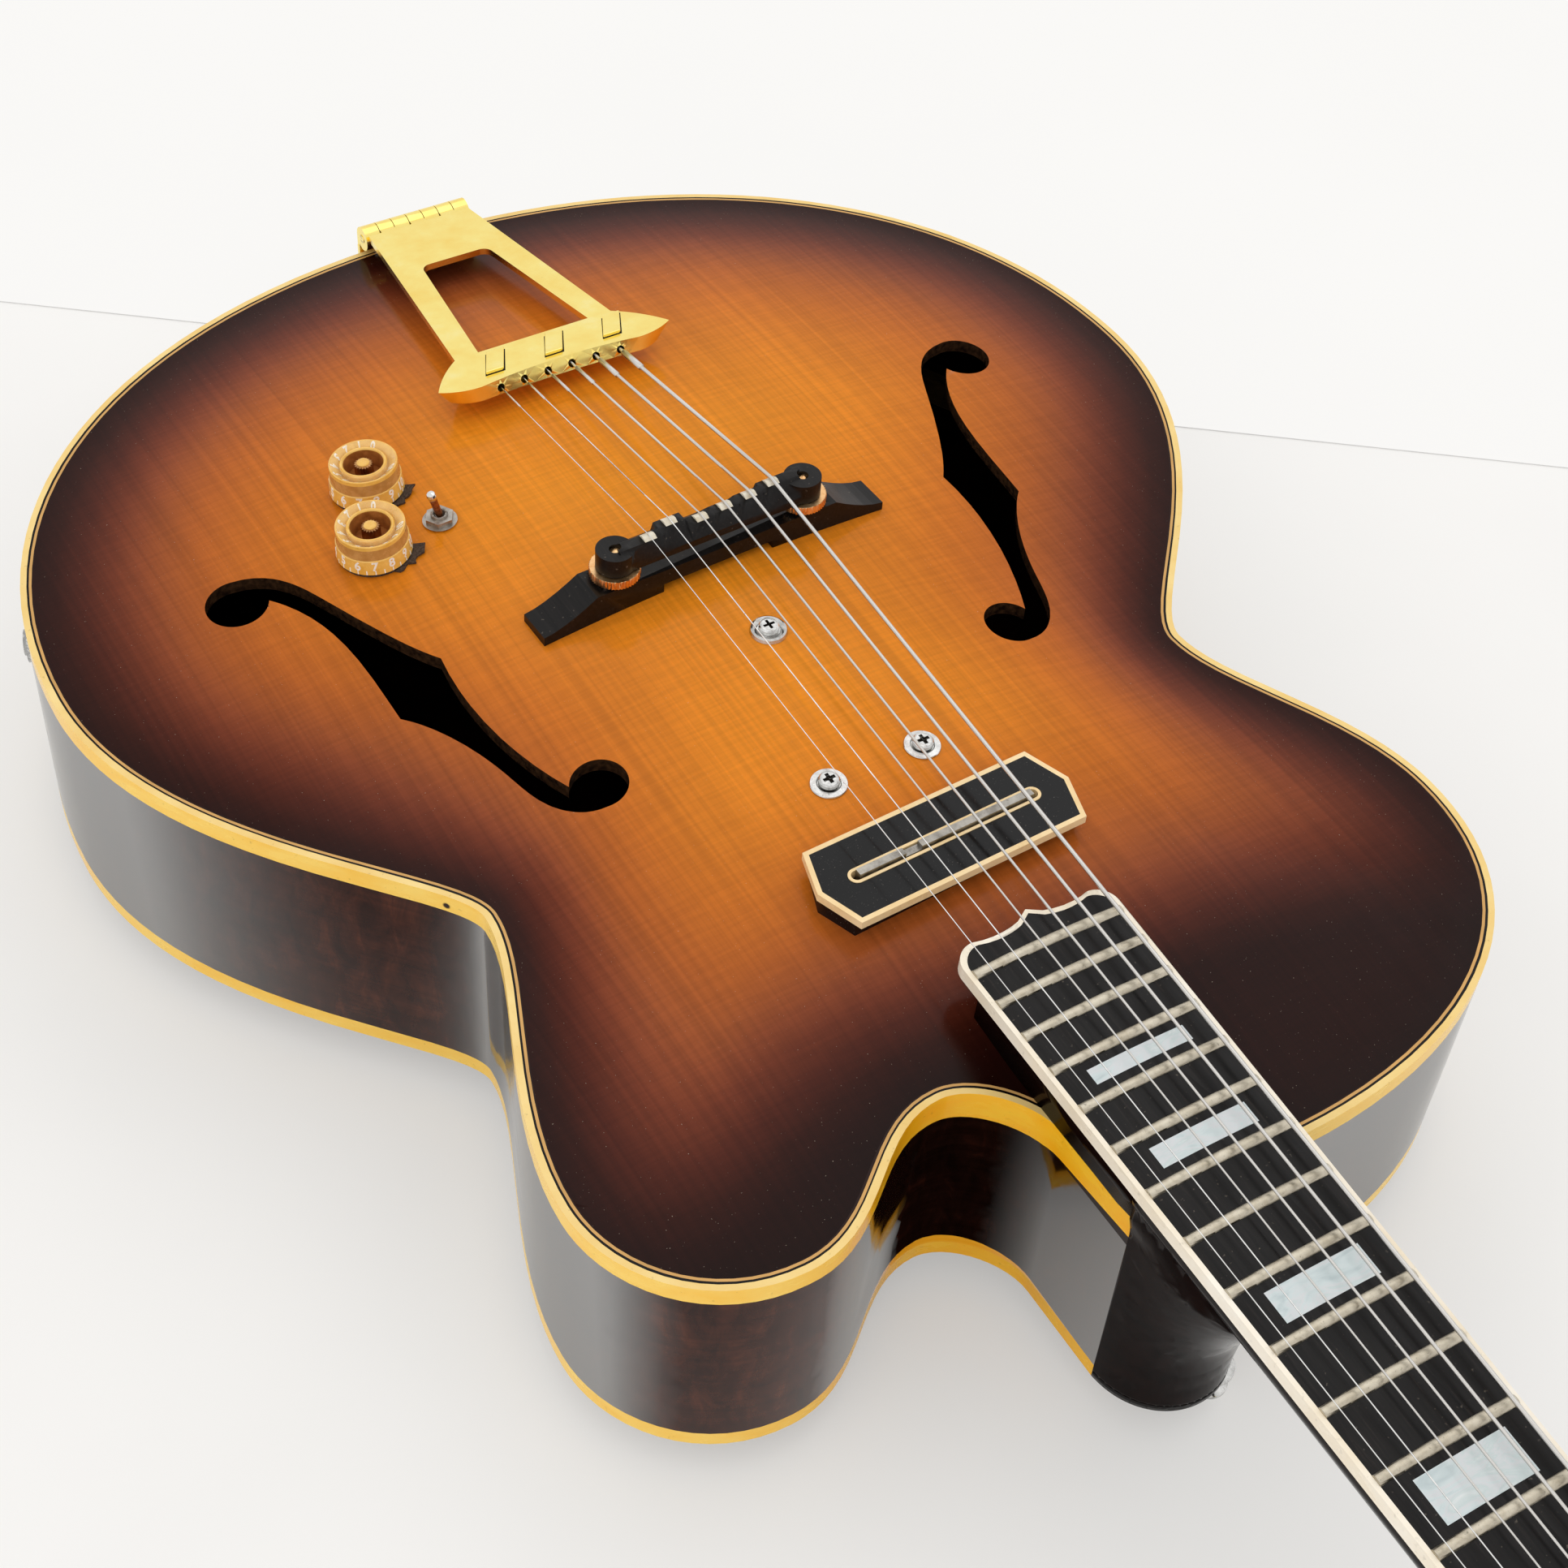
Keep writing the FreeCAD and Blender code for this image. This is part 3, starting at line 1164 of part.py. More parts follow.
def insert_block(string, peak):
    """A saddle insert with a peaked top, or its square pocket."""
    half, reach = size("insert_width") / 2, size("insert_length") / 2
    middle, crest = spread(string, size("saddle_spread")), COMPENSATION[string - 1]
    low, top = SADDLE_TOP - size("insert_depth"), SADDLE_TOP - peak
    ridge = [(crest + reach / 4, SADDLE_TOP), (crest - reach / 4, SADDLE_TOP)]
    return along_x([(crest - reach, low), (crest + reach, low), (crest + reach, top)] + ridge
                   + [(crest - reach, top)], middle - half, middle + half)


def saddle_shape():
    """Six stepped crests between two round towers."""
    foot = size("saddle_foot") / 2
    ridge = SADDLE_TOP - size("insert_rise")
    step = size("saddle_spread") / 5
    parts = []
    for string in STRINGS:
        middle = spread(string, size("saddle_spread"))
        start, end = middle - step / 2, middle + step / 2
        if string == 1:
            end = size("post_spread") / 2
        if string == len(STRINGS):
            start = -size("post_spread") / 2
        crest = COMPENSATION[string - 1]
        rim = size("saddle_crest") / 2
        parts.append(along_x([
            (-foot, SADDLE_LOW), (foot, SADDLE_LOW), (foot, SADDLE_LOW + size("saddle_height") * 0.3),
            (crest + rim, ridge), (crest - rim, ridge),
            (-foot, SADDLE_LOW + size("saddle_height") * 0.4)], start, end))
    for spot in post_spots:
        parts.append(cylinder(size("tower_radius"), size("tower_height"),
                              spot + Z_AXIS * SADDLE_LOW))
    body = joined(parts)
    for spot in post_spots:
        body = body.cut(cylinder(size("bridge_post_radius") + size("bridge_clearance"),
                                 2 * SADDLE_TOP, spot))
    return body.cut([insert_block(string, 0) for string in STRINGS])


solid_piece("bridge_saddle", saddle_shape(), bridge_place)
inserts = [insert_block(string, size("insert_rise")) for string in STRINGS]
solid_piece("saddle_inserts", Part.makeCompound(inserts), bridge_place)


# Tailpiece: a bracket on the tail, a hinge, an open frame and a boat-shaped bar
KNUCKLE = size("hinge_width") / size("knuckle_count")
BARREL = size("barrel_radius")


def knuckle_span(index):
    """Start and end of a knuckle across the hinge."""
    start = -size("hinge_width") / 2 + index * KNUCKLE
    play = size("knuckle_clearance") / 2
    return start + play, start + KNUCKLE - play


def tail_bracket_shape():
    hinge = Vector(0, -HINGE_REACH, size("hinge_height"))
    inner = -size("tail_reach")
    outer = inner - size("leaf_thickness")
    half = size("hinge_width") / 2
    top = hinge.z - BARREL - 2 * size("knuckle_clearance")
    parts = [box_between(Vector(-half, outer, top - size("leaf_length")), Vector(half, inner, top))]
    for index in range(0, int(size("knuckle_count")), 2):
        start, end = knuckle_span(index)
        parts.append(box_between(Vector(start, outer, top - 1), Vector(end, inner, hinge.z)))
        parts.append(cylinder(BARREL, end - start, Vector(start, hinge.y, hinge.z), X_AXIS))
    leaf = joined(parts)
    bore = cylinder(size("pin_radius"), 2 * half + 2, hinge - X_AXIS * (half + 1), X_AXIS)
    return leaf.cut(bore).cut(pin_hole).cut(leaf_holes)


solid_piece("tail_bracket", tail_bracket_shape())
leaf_screw = turned("leaf_screw", [
    ("0", "-leaf_screw_length"), ("leaf_screw_radius", "-leaf_screw_length"),
    ("leaf_screw_radius", "0"), ("leaf_screw_head", "0"),
    ("leaf_screw_head * 0.7", "leaf_screw_head * 0.5"), ("0", "leaf_screw_head * 0.6")])
solid_piece("cover_and_bracket_screws",
            Part.makeCompound(cover_screws + copies(leaf_screw, screw_rows)))
hinge_pin = cylinder(size("pin_radius"), size("hinge_width"),
                     Vector(-size("hinge_width") / 2, 0, 0), X_AXIS)
solid_piece("tailpiece_hinge_pin", hinge_pin, tail_place)


def flat_face(corners, level):
    points = [Vector(across, along, level) for across, along in corners]
    return Part.Face(Part.makePolygon(points + points[:1]))


PLATE_TOP = size("plate_rise")
PLATE_LOW = PLATE_TOP - size("frame_thickness")


def tail_frame_shape():
    """An open plate that curls round the pin in the hinge's free knuckles."""
    clear = BARREL + 2 * size("knuckle_clearance")
    wide, narrow = size("frame_half_bar"), size("frame_half_hinge")
    outline = flat_face([(-narrow, clear), (narrow, clear), (wide, size("bar_start")),
                         (-wide, size("bar_start"))], PLATE_LOW)
    plate = outline.extrude(Vector(0, 0, size("frame_thickness")))
    near, far = size("cut_half_hinge"), size("cut_half_bar")
    window = flat_face([(-near, size("cut_start")), (near, size("cut_start")),
                        (far, size("bar_start") + 1), (-far, size("bar_start") + 1)], -BARREL)
    window = window.extrude(Vector(0, 0, 4 * BARREL))
    corners = [edge for edge in window.Edges
               if abs(edge.BoundBox.YMax - size("cut_start")) < 0.01 and edge.BoundBox.XLength < 0.01]
    window = window.makeFillet(size("cut_corner"), corners)
    parts = [plate.cut(window)]
    bores = []
    for index in range(1, int(size("knuckle_count")), 2):
        start, end = knuckle_span(index)
        parts.append(cylinder(BARREL, end - start, Vector(start, 0, 0), X_AXIS))
        parts.append(box_between(Vector(start, 0, PLATE_LOW), Vector(end, clear + 1, PLATE_TOP)))
        bores.append(cylinder(size("pin_radius") + size("pin_clearance"), KNUCKLE * 2,
                              Vector(start - KNUCKLE / 2, 0, 0), X_AXIS))
    return joined(parts).cut(bores)


solid_piece("tailpiece_frame", tail_frame_shape(), tail_place)


def bar_wire(level, tip, front_half, front, sag):
    rear = size("bar_start")
    middle = size("bar_tip")
    points = [Vector(-front_half, front, level), Vector(-tip, middle, level),
              Vector(-size("bar_flat"), rear, level), Vector(size("bar_flat"), rear, level),
              Vector(tip, middle, level), Vector(front_half, front, level)]
    edges = [Part.LineSegment(points[2], points[3]).toShape()]
    for first, second in ((0, 1), (1, 2), (3, 4), (4, 5)):
        chord = points[second] - points[first]
        bow = Vector(chord.y, -chord.x, 0).normalize() * size("bar_bulge")
        crown = (points[first] + points[second]) / 2 + bow
        edges.append(Part.Arc(points[first], crown, points[second]).toShape())
    edges.append(Part.Arc(points[5], Vector(0, front - sag, level), points[0]).toShape())
    return Part.Wire(Part.__sortEdges__(edges))


def string_bores():
    """A hole for each string with a pocket behind it for the ball end."""
    cuts = []
    pocket_end = size("bar_front") - size("ball_wall")
    for string in STRINGS:
        start = tail_point(string, size("bar_start") - 1)
        cuts.append(cylinder(size("string_hole_radius"), size("bar_front"), start, Y_AXIS))
        cuts.append(cylinder(size("ball_radius") + size("ball_clearance"),
                             pocket_end - start.y, start, Y_AXIS))
    return cuts


def crossbar_shape():
    """A boat with a flat deck: its ends and its front slope in to a shorter keel."""
    low = bar_wire(-size("bar_drop"), size("bar_keel"), size("bar_flat"), size("bar_front"),
                   size("bar_sag") / 2)
    high = bar_wire(size("bar_height"), size("bar_half"), size("bar_flat"), size("bar_crest"),
                    size("bar_sag"))
    return Part.makeLoft([low, high], True, True).cut(string_bores())


tab_front = size("bar_crest") - size("bar_sag") - size("tab_setback")
tab_rear = tab_front - size("tab_length")
tab_half, tab_skew = size("tab_width") / 2, size("tab_skew")
tabs = []
for side in (-1, 0, 1):
    middle = side * size("tab_spread")
    tab = flat_face([(middle - tab_half - tab_skew, tab_rear), (middle + tab_half - tab_skew, tab_rear),
                     (middle + tab_half, tab_front), (middle - tab_half, tab_front)],
                    size("bar_height"))
    tabs.append(tab.extrude(Vector(0, 0, size("tab_height"))))
solid_piece("tailpiece_crossbar", Part.makeCompound([crossbar_shape()] + tabs), tail_place)


# Strings from the ball end over saddle and nut to the windings on the posts
def arc_from(start, along, end):
    """The arc that leaves a point in a direction and reaches another point."""
    chord = end - start
    side = chord - along * chord.dot(along)
    if side.Length < 1e-6:
        return Part.LineSegment(start, end)
    side.normalize()
    radius = chord.Length**2 / (2 * chord.dot(side))
    centre = start + side * radius
    outward = (start + end) * 0.5 - centre
    outward.normalize()
    return Part.Arc(start, centre + outward * radius, end)


def biarc(start, start_along, end, end_along):
    """Two arcs that join two points in given directions."""
    chord = end - start
    sum_along = start_along + end_along
    spare = 2 * (1 - start_along.dot(end_along))
    lean = chord.dot(sum_along)
    reach = (-lean + math.sqrt(lean**2 + spare * chord.dot(chord))) / spare
    middle = (start + end + (start_along - end_along) * reach) * 0.5
    first = arc_from(start, start_along, middle)
    second = arc_from(end, end_along * -1, middle)
    flipped = Part.Arc(middle, second.value(second.FirstParameter * 0.5
                                            + second.LastParameter * 0.5), end)
    return [first, flipped]


def bent_run(points, radius):
    """Straight runs through points, with a small arc at each bend."""
    edges = []
    start = points[0]
    for index in range(1, len(points) - 1):
        before = (points[index] - points[index - 1]).normalize()
        after = (points[index + 1] - points[index]).normalize()
        turn = before.getAngle(after)
        if turn < 1e-4:
            continue
        trim = radius * math.tan(turn / 2)
        enter, leave = points[index] - before * trim, points[index] + after * trim
        edges.append(Part.LineSegment(start, enter))
        edges.append(arc_from(enter, before, leave))
        start = leave
    edges.append(Part.LineSegment(start, points[-1]))
    return edges


def winding(string, side, across, along, arrival):
    """Tangent point, and turns round a post, in the headstock's frame."""
    radius = size("post_radius") + size("wind_clearance") + gauge(string) / 2
    step = gauge(string) + size("wind_gap")
    flat = Vector(across - arrival.x, along - arrival.y, 0)
    swing = math.atan2(flat.y, flat.x)
    inner = swing - side * math.acos(radius / flat.Length) + math.pi
    quarters = 4 * int(size("wind_turns"))
    points, directions = [], []
    fall = step / (2 * math.pi * radius)
    for index in range(quarters + 1):
        turn = inner - side * index * math.pi / 2
        points.append(Vector(across + radius * math.cos(turn), along + radius * math.sin(turn),
                             size("wind_top") - step * index / 4))
        run = Vector(side * math.sin(turn), -side * math.cos(turn), -fall)
        directions.append(run.normalize())
    return points, directions


def string_path(string, side, across, along):
    """The string's whole middle line, from the ball end to the last winding."""
    start = tail_point(string, size("bar_front") - size("ball_wall") - size("ball_length"))
    leave = tail_point(string, size("bar_front") + size("string_exit"))
    nut = neck_place.multVec(nut_point(string))
    points, directions = winding(string, side, across, along,
                                 head_place.inverse().multVec(nut))
    posts = [head_place.multVec(point) for point in points]
    runs = [head_place.Rotation.multVec(run) for run in directions]
    route = [tail_place.multVec(start), tail_place.multVec(leave),
             bridge_place.multVec(saddle_point(string)), nut, posts[0]]
    edges = bent_run(route, size("string_bend"))
    arrive = (posts[0] - nut).normalize()
    runs[0] = arrive
    for index in range(len(posts) - 1):
        edges += biarc(posts[index], runs[index], posts[index + 1], runs[index + 1])
    last = posts[-1] + runs[-1] * gauge(string)
    edges.append(Part.LineSegment(posts[-1], last))
    return edges, posts


def least_gap(string):
    """Clear space between neighbouring turns, measured on points of the winding."""
    spot = next(spot for spot in TUNERS if spot[0] == string)
    nut = head_place.inverse().multVec(neck_place.multVec(nut_point(string)))
    points, directions = winding(*spot, nut)
    gaps = [(points[index] - points[index + 4]).Length - gauge(string)
            for index in range(len(points) - 4)]
    return min(gaps)


def string_shape(string, side, across, along):
    edges, posts = string_path(string, side, across, along)
    path = Part.Wire([edge.toShape() for edge in edges])
    start, along_start = edges[0].StartPoint, (edges[0].EndPoint - edges[0].StartPoint).normalize()
    ring = Part.Wire(Part.Circle(start, along_start, gauge(string) / 2).toShape())
    tube = path.makePipeShell([ring], True, False)
    ball = cylinder(size("ball_radius"), size("ball_length"), start, along_start)
    front = tail_point(string, size("bar_front") + 1.5 * size("string_exit"))
    wrap = cylinder(gauge(string) / 2 * size("wrap_ratio"), size("wrap_length"),
                    tail_place.multVec(front), (edges[2].EndPoint - edges[2].StartPoint).normalize())
    return tube.multiFuse([ball, wrap]).removeSplitter()


strings = [string_shape(*spot) for spot in TUNERS]
PLAIN_COUNT = 2
solid_piece("plain_strings", Part.makeCompound(strings[:PLAIN_COUNT]))
solid_piece("wound_strings", Part.makeCompound(strings[PLAIN_COUNT:]))


# Nut, slotted along each string's way to its post
def nut_shape():
    half = size("nut_width") / 2
    block = box_between(Vector(-half, NUT_AT, -BOARD), Vector(half, NECK_END, size("nut_height")))
    reach = size("nut_length")
    for spot in TUNERS:
        edges, posts = string_path(*spot)
        middle = nut_point(spot[0])
        away = neck_place.inverse().multVec(posts[0]) - middle
        room = gauge(spot[0]) / 2 + size("nut_clearance")
        floor = middle.z - room
        drop, sway = away.z / away.y * 2 * reach, away.x / away.y * 2 * reach
        slot = along_x([(NUT_AT - reach, floor), (NUT_AT, floor), (NUT_AT + 2 * reach, floor + drop),
                        (NUT_AT + 2 * reach, BOARD), (NUT_AT - reach, BOARD)],
                       middle.x - room + min(sway, 0), middle.x + room + max(sway, 0))
        block = block.cut(slot)
    return block


solid_piece("nut", nut_shape(), neck_place)
print("least gap between string turns", round(min(least_gap(string) for string in STRINGS), 3))


# Pickup: a bound six-sided plate on a coil, with a blade down to magnets inside the body
def pickup_prism(inset, low, high):
    half, width = size("pickup_half"), size("pickup_half_width")
    lean = half - size("pickup_half_flat")
    slant = math.hypot(lean, width)
    tip = half - inset * slant / width
    edge = width - inset
    flat = tip - lean / width * edge
    face = flat_face([(-tip, 0), (-flat, -edge), (flat, -edge), (tip, 0), (flat, edge),
                      (-flat, edge)], low)
    return face.extrude(Vector(0, 0, high - low))


def slot_prism(inset, low, high):
    """The long slot with round ends."""
    radius = size("slot_half_width") - inset
    ends = size("slot_half") - size("slot_half_width")
    parts = [box_between(Vector(-ends, -radius, low), Vector(ends, radius, high)),
             cylinder(radius, high - low, Vector(-ends, 0, low)),
             cylinder(radius, high - low, Vector(ends, 0, low))]
    return joined(parts)


PICKUP_TOP = size("pickup_height")
PICKUP_LOW = PICKUP_TOP - size("pickup_plate")
MAGNET_TOP = top_height(0, -size("pickup_reach")) - THICK - size("magnet_gap")
edge_inset = size("pickup_edge")
slot_cut = slot_prism(0, PICKUP_LOW - BELOW, PICKUP_TOP + BELOW)
solid_piece("pickup_plate", pickup_prism(edge_inset, PICKUP_LOW, PICKUP_TOP).cut(slot_cut),
            pickup_place)
edge_ring = pickup_prism(0, PICKUP_LOW, PICKUP_TOP).cut(
    pickup_prism(edge_inset, PICKUP_LOW - BELOW, PICKUP_TOP + BELOW))
liner = slot_prism(0, PICKUP_LOW, PICKUP_TOP + size("liner_rise"))
liner = liner.cut(slot_prism(size("liner_width"), PICKUP_LOW - BELOW, PICKUP_TOP + BELOW))
solid_piece("pickup_trim", Part.makeCompound([edge_ring, liner]), pickup_place)


def blade_box(room, low, high):
    """The blade's block, grown sideways by a clearance."""
    half, width = size("blade_half") + room, size("blade_width") / 2 + room
    return box_between(Vector(-half, -width, low), Vector(half, width, high))


BLADE_TOP = PICKUP_TOP + size("blade_rise")
second_string = spread(2, (size("saddle_spread") + size("nut_spread")) / 2)
notch_half = size("blade_notch") / 2
notch = box_between(
    Vector(second_string - notch_half, -size("blade_width"), BLADE_TOP - size("blade_notch_depth")),
    Vector(second_string + notch_half, size("blade_width"), BLADE_TOP + 1))
solid_piece("pickup_blade", blade_box(0, MAGNET_TOP, BLADE_TOP).cut(notch), pickup_place)
coil = pickup_prism(size("coil_inset"), -THICK, PICKUP_LOW)
coil = coil.cut(blade_box(size("blade_clearance"), -BELOW, BELOW))
solid_piece("pickup_coil", placed(coil, pickup_place).cut(below_top))


def magnet_shape():
    """Two bar magnets and the keeper between them, hung from the screws."""
    low = MAGNET_TOP - size("magnet_thickness")
    start = -size("pickup_reach") + size("magnet_width") / 2
    half = size("magnet_width") / 2
    parts = []
    for side in (-1, 1):
        middle = side * size("near_screw_spread") / 2
        parts.append(box_between(Vector(middle - half, start - size("magnet_length"), low),
                                 Vector(middle + half, start, MAGNET_TOP)))
    reach = size("near_screw_spread") / 2 + half
    parts.append(box_between(Vector(-reach, -size("far_screw_reach") - half, low),
                             Vector(reach, -size("far_screw_reach") + half, MAGNET_TOP)))
    shank = cylinder(size("screw_radius"), 4 * BELOW, Vector(0, 0, -2 * BELOW))
    return joined(parts).cut([placed(shank, place) for place in screw_places])


solid_piece("pickup_magnets", magnet_shape())
washer = turned("washer", [
    ("screw_radius + screw_clearance", "0"), ("washer_radius", "0"),
    ("washer_radius", "washer_thickness"), ("screw_radius + screw_clearance", "washer_thickness")])
pickup_screw = turned("pickup_screw", [
    ("0", "-plate_thickness - top_arch - magnet_thickness * 0.5"),
    ("screw_radius", "-plate_thickness - top_arch - magnet_thickness * 0.5"),
    ("screw_radius", "washer_thickness"), ("screw_head", "washer_thickness"),
    ("screw_head", "washer_thickness + screw_head_height * 0.5"),
    ("screw_head * 0.6", "washer_thickness + screw_head_height"),
    ("0", "washer_thickness + screw_head_height")])
solid_piece("pickup_screws", Part.makeCompound(
    copies(pickup_screw, screw_places) + copies(washer, screw_places)))

# Controls: two potentiometers with knobs and pointers, and a small lever switch
knob_recess = "pointer_thickness + pot_nut_height + pot_gap"
KNOB_PROFILE = [
    ("0", "knob_lift + knob_bore_depth"), ("shaft_round", "knob_lift + knob_bore_depth"),
    ("shaft_round", knob_recess), ("pot_nut + pot_gap", knob_recess),
    ("pot_nut + pot_gap", "knob_lift"), ("knob_base_radius", "knob_lift"),
    ("knob_top_radius", "knob_lift + knob_height"), ("knob_well_radius", "knob_lift + knob_height"),
    ("knob_well_radius * 0.9", "knob_lift + knob_height - knob_well_depth"),
    ("0", "knob_lift + knob_height - knob_well_depth")]
SHAFT_PROFILE = [
    ("0", "-shaft_sink"), ("shaft_round", "-shaft_sink"),
    ("shaft_round", "knob_lift + knob_bore_depth"), ("0", "knob_lift + knob_bore_depth")]
for control, place in (("volume", volume_place), ("tone", tone_place)):
    solid_piece(control + "_knob", Part.makeCompound(
        copies(turned(control + "_cap", KNOB_PROFILE), [place])
        + copies(turned(control + "_shaft", SHAFT_PROFILE), [place])))
can_top = "-plate_thickness - pot_gap"
pot = turned("control_pot", [
    ("0", can_top + " - pot_height"), ("pot_radius", can_top + " - pot_height"),
    ("pot_radius", can_top), ("pot_bushing", can_top), ("pot_bushing", "pointer_thickness"),
    ("pot_nut", "pointer_thickness"), ("pot_nut", "pointer_thickness + pot_nut_height"),
    ("shaft_round + shaft_clearance", "pointer_thickness + pot_nut_height"),
    ("shaft_round + shaft_clearance", "-shaft_sink - pot_gap / 2"),
    ("0", "-shaft_sink - pot_gap / 2")])
solid_piece("control_pots", Part.makeCompound(copies(pot, [volume_place, tone_place])))


def pointer_shape():
    """A thin washer with one long tip."""
    thick = size("pointer_thickness")
    disc = cylinder(size("pointer_radius"), thick)
    half = size("pointer_radius") * 0.45
    tip = flat_face([(0, half), (0, -half), (size("pointer_tip"), 0)], 0)
    tip = tip.extrude(Vector(0, 0, thick))
    hole = cylinder(size("pot_bushing") + size("pot_clearance"), 4 * thick, Vector(0, 0, -thick))
    return disc.fuse(tip).removeSplitter().cut(hole)


pointer = pointer_shape()
aim = Placement(Vector(0, 0, 0), Rotation(Z_AXIS, size("pointer_turn")))
solid_piece("knob_pointers", Part.makeCompound(
    [placed(pointer, place * aim) for place in (volume_place, tone_place)]))

LEVER_PIVOT = size("switch_bushing_height") - size("lever_sink")
bushing_bore = (size("lever_radius") / math.cos(math.radians(size("lever_lean")))
                + size("lever_sink") * math.tan(math.radians(size("lever_lean")))
                + size("lever_clearance"))


def switch_body_shape():
    """Case inside the top with its bushing through it."""
    low = -THICK - size("pot_gap")
    half_width, half_length = size("switch_body_width") / 2, size("switch_body_length") / 2
    case = box_between(Vector(-half_width, -half_length, low - size("switch_body_height")),
                       Vector(half_width, half_length, low))
    stem = cylinder(size("switch_bushing"), size("switch_bushing_height") - low, Vector(0, 0, low))
    bore = cylinder(bushing_bore, BELOW, Vector(0, 0, LEVER_PIVOT - size("lever_sink")))
    return case.fuse(stem).removeSplitter().cut(bore)


washer_top = size("switch_washer_height")
ring = cylinder(size("switch_washer"), washer_top).cut(
    cylinder(size("switch_bushing"), 3 * washer_top, Vector(0, 0, -washer_top)))
corners = [Vector(size("switch_nut") * math.cos(math.pi * side / 3),
                  size("switch_nut") * math.sin(math.pi * side / 3), washer_top)
           for side in range(6)]
hexagon = Part.Face(Part.makePolygon(corners + corners[:1])).extrude(
    Vector(0, 0, size("switch_nut_height")))
hexagon = hexagon.cut(cylinder(size("switch_bushing"), BELOW))
solid_piece("switch_body", Part.makeCompound([switch_body_shape(), ring, hexagon]), switch_place)
lever_place = switch_place * Placement(Vector(0, 0, LEVER_PIVOT),
                                       Rotation(Y_AXIS, size("lever_lean")))
lever = turned("switch_lever", [
    ("0", "-lever_radius"), ("lever_radius * 0.8", "-lever_radius * 0.6"),
    ("lever_radius", "0"), ("lever_radius", "lever_length * 0.6"),
    ("lever_tip_radius", "lever_length - lever_tip_radius"),
    ("lever_tip_radius * 0.8", "lever_length - lever_tip_radius * 0.3"), ("0", "lever_length")],
    lever_place)
keep(lever, "switch_lever")

# Output jack in the rim, and the two strap holders
keep(turned("output_jack", [
    ("jack_bore", "-jack_length"), ("jack_barrel", "-jack_length"),
    ("jack_barrel", "-rim_wall - jack_flange_height - jack_seat"),
    ("jack_flange", "-rim_wall - jack_flange_height - jack_seat"),
    ("jack_flange", "-rim_wall - jack_seat"), ("jack_barrel", "-rim_wall - jack_seat"),
    ("jack_barrel", "jack_seat"), ("jack_nut", "jack_seat"),
    ("jack_nut", "jack_seat + jack_nut_height"), ("jack_barrel", "jack_seat + jack_nut_height"),
    ("jack_barrel", "jack_seat + jack_nut_height + jack_proud"),
    ("jack_bore", "jack_seat + jack_nut_height + jack_proud")], jack_place), "output_jack")
BUTTON_PROFILE = [
    ("0", "-button_shank_length"), ("button_shank", "-button_shank_length"), ("button_shank", "0"),
    ("button_flange", "0"), ("button_flange", "button_tall * 0.15"),
    ("button_waist", "button_tall * 0.3"), ("button_waist", "button_tall * 0.7"),
    ("button_head", "button_tall * 0.85"), ("button_head", "button_tall * 0.95"),
    ("0", "button_tall")]
strap_button = turned("strap_button", BUTTON_PROFILE)
solid_piece("strap_buttons",
            Part.makeCompound(copies(strap_button, [end_pin_place, heel_button_place])))

# The whole guitar stands over the origin
doc.recompute()
spans = {item.Label: item.Shape.optimalBoundingBox() for item in pieces
         if item.Label in ("neck_bindings", "strap_buttons")}
highest, lowest = spans["neck_bindings"].YMax, spans["strap_buttons"].YMin
ground = -DEPTH - size("back_arch")
shift = Placement(Vector(0, -(highest + lowest) / 2, -ground), Rotation())
for item in pieces:
    item.Placement = shift * item.Placement
doc.recompute()

for item in doc.Objects:
    if "Invalid" in item.State or "Error" in item.State:
        raise RuntimeError("failed object " + item.Label)
for item in pieces:
    if item.Shape.isNull() or not item.Shape.isValid():
        raise RuntimeError("bad shape " + item.Label)


def tell(name, place, axis):
    """Prints a point and a direction of the finished guitar."""
    point = shift.multVec(place.Base)
    way = place.Rotation.multVec(axis)
    print("axis", name, *(round(value, 6) for value in (*point, *way)))


tell("volume", volume_place, Z_AXIS)
tell("tone", tone_place, Z_AXIS)
tell("switch", lever_place, Y_AXIS)
tell("tail", tail_place, X_AXIS)
tell("saddle", bridge_place, Z_AXIS)
for name, spot in (("bass", post_spots[0]), ("treble", post_spots[1])):
    tell("wheel_" + name, bridge_place * Placement(spot, Rotation()), Z_AXIS)
for string in STRINGS:
    tell("post_%d" % string, machine_places[string], Z_AXIS)
    worm_place = machine_places[string] * Placement(Vector(0, WORM_AT, WORM_LEVEL), Rotation())
    tell("button_%d" % string, worm_place, X_AXIS)
tell("jack", jack_place, Z_AXIS)
tell("end_pin", end_pin_place, Z_AXIS)
tell("heel_button", heel_button_place, Z_AXIS)
print("shift", round(shift.Base.y, 4), round(shift.Base.z, 4), "jack length",
      size("jack_length") + size("jack_nut_height") + size("jack_proud") + size("jack_seat"))

os.makedirs("parts", exist_ok=True)
for item in pieces:
    item.Shape.exportStep("parts/%s.step" % item.Label)
print("pieces", len(pieces))
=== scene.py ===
"""Archtop guitar with a rounded cutaway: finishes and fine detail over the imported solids.

Metres. The guitar lies on its back, +Z up, +Y towards the headstock, +X towards the cutaway side.
"""

import json
import math

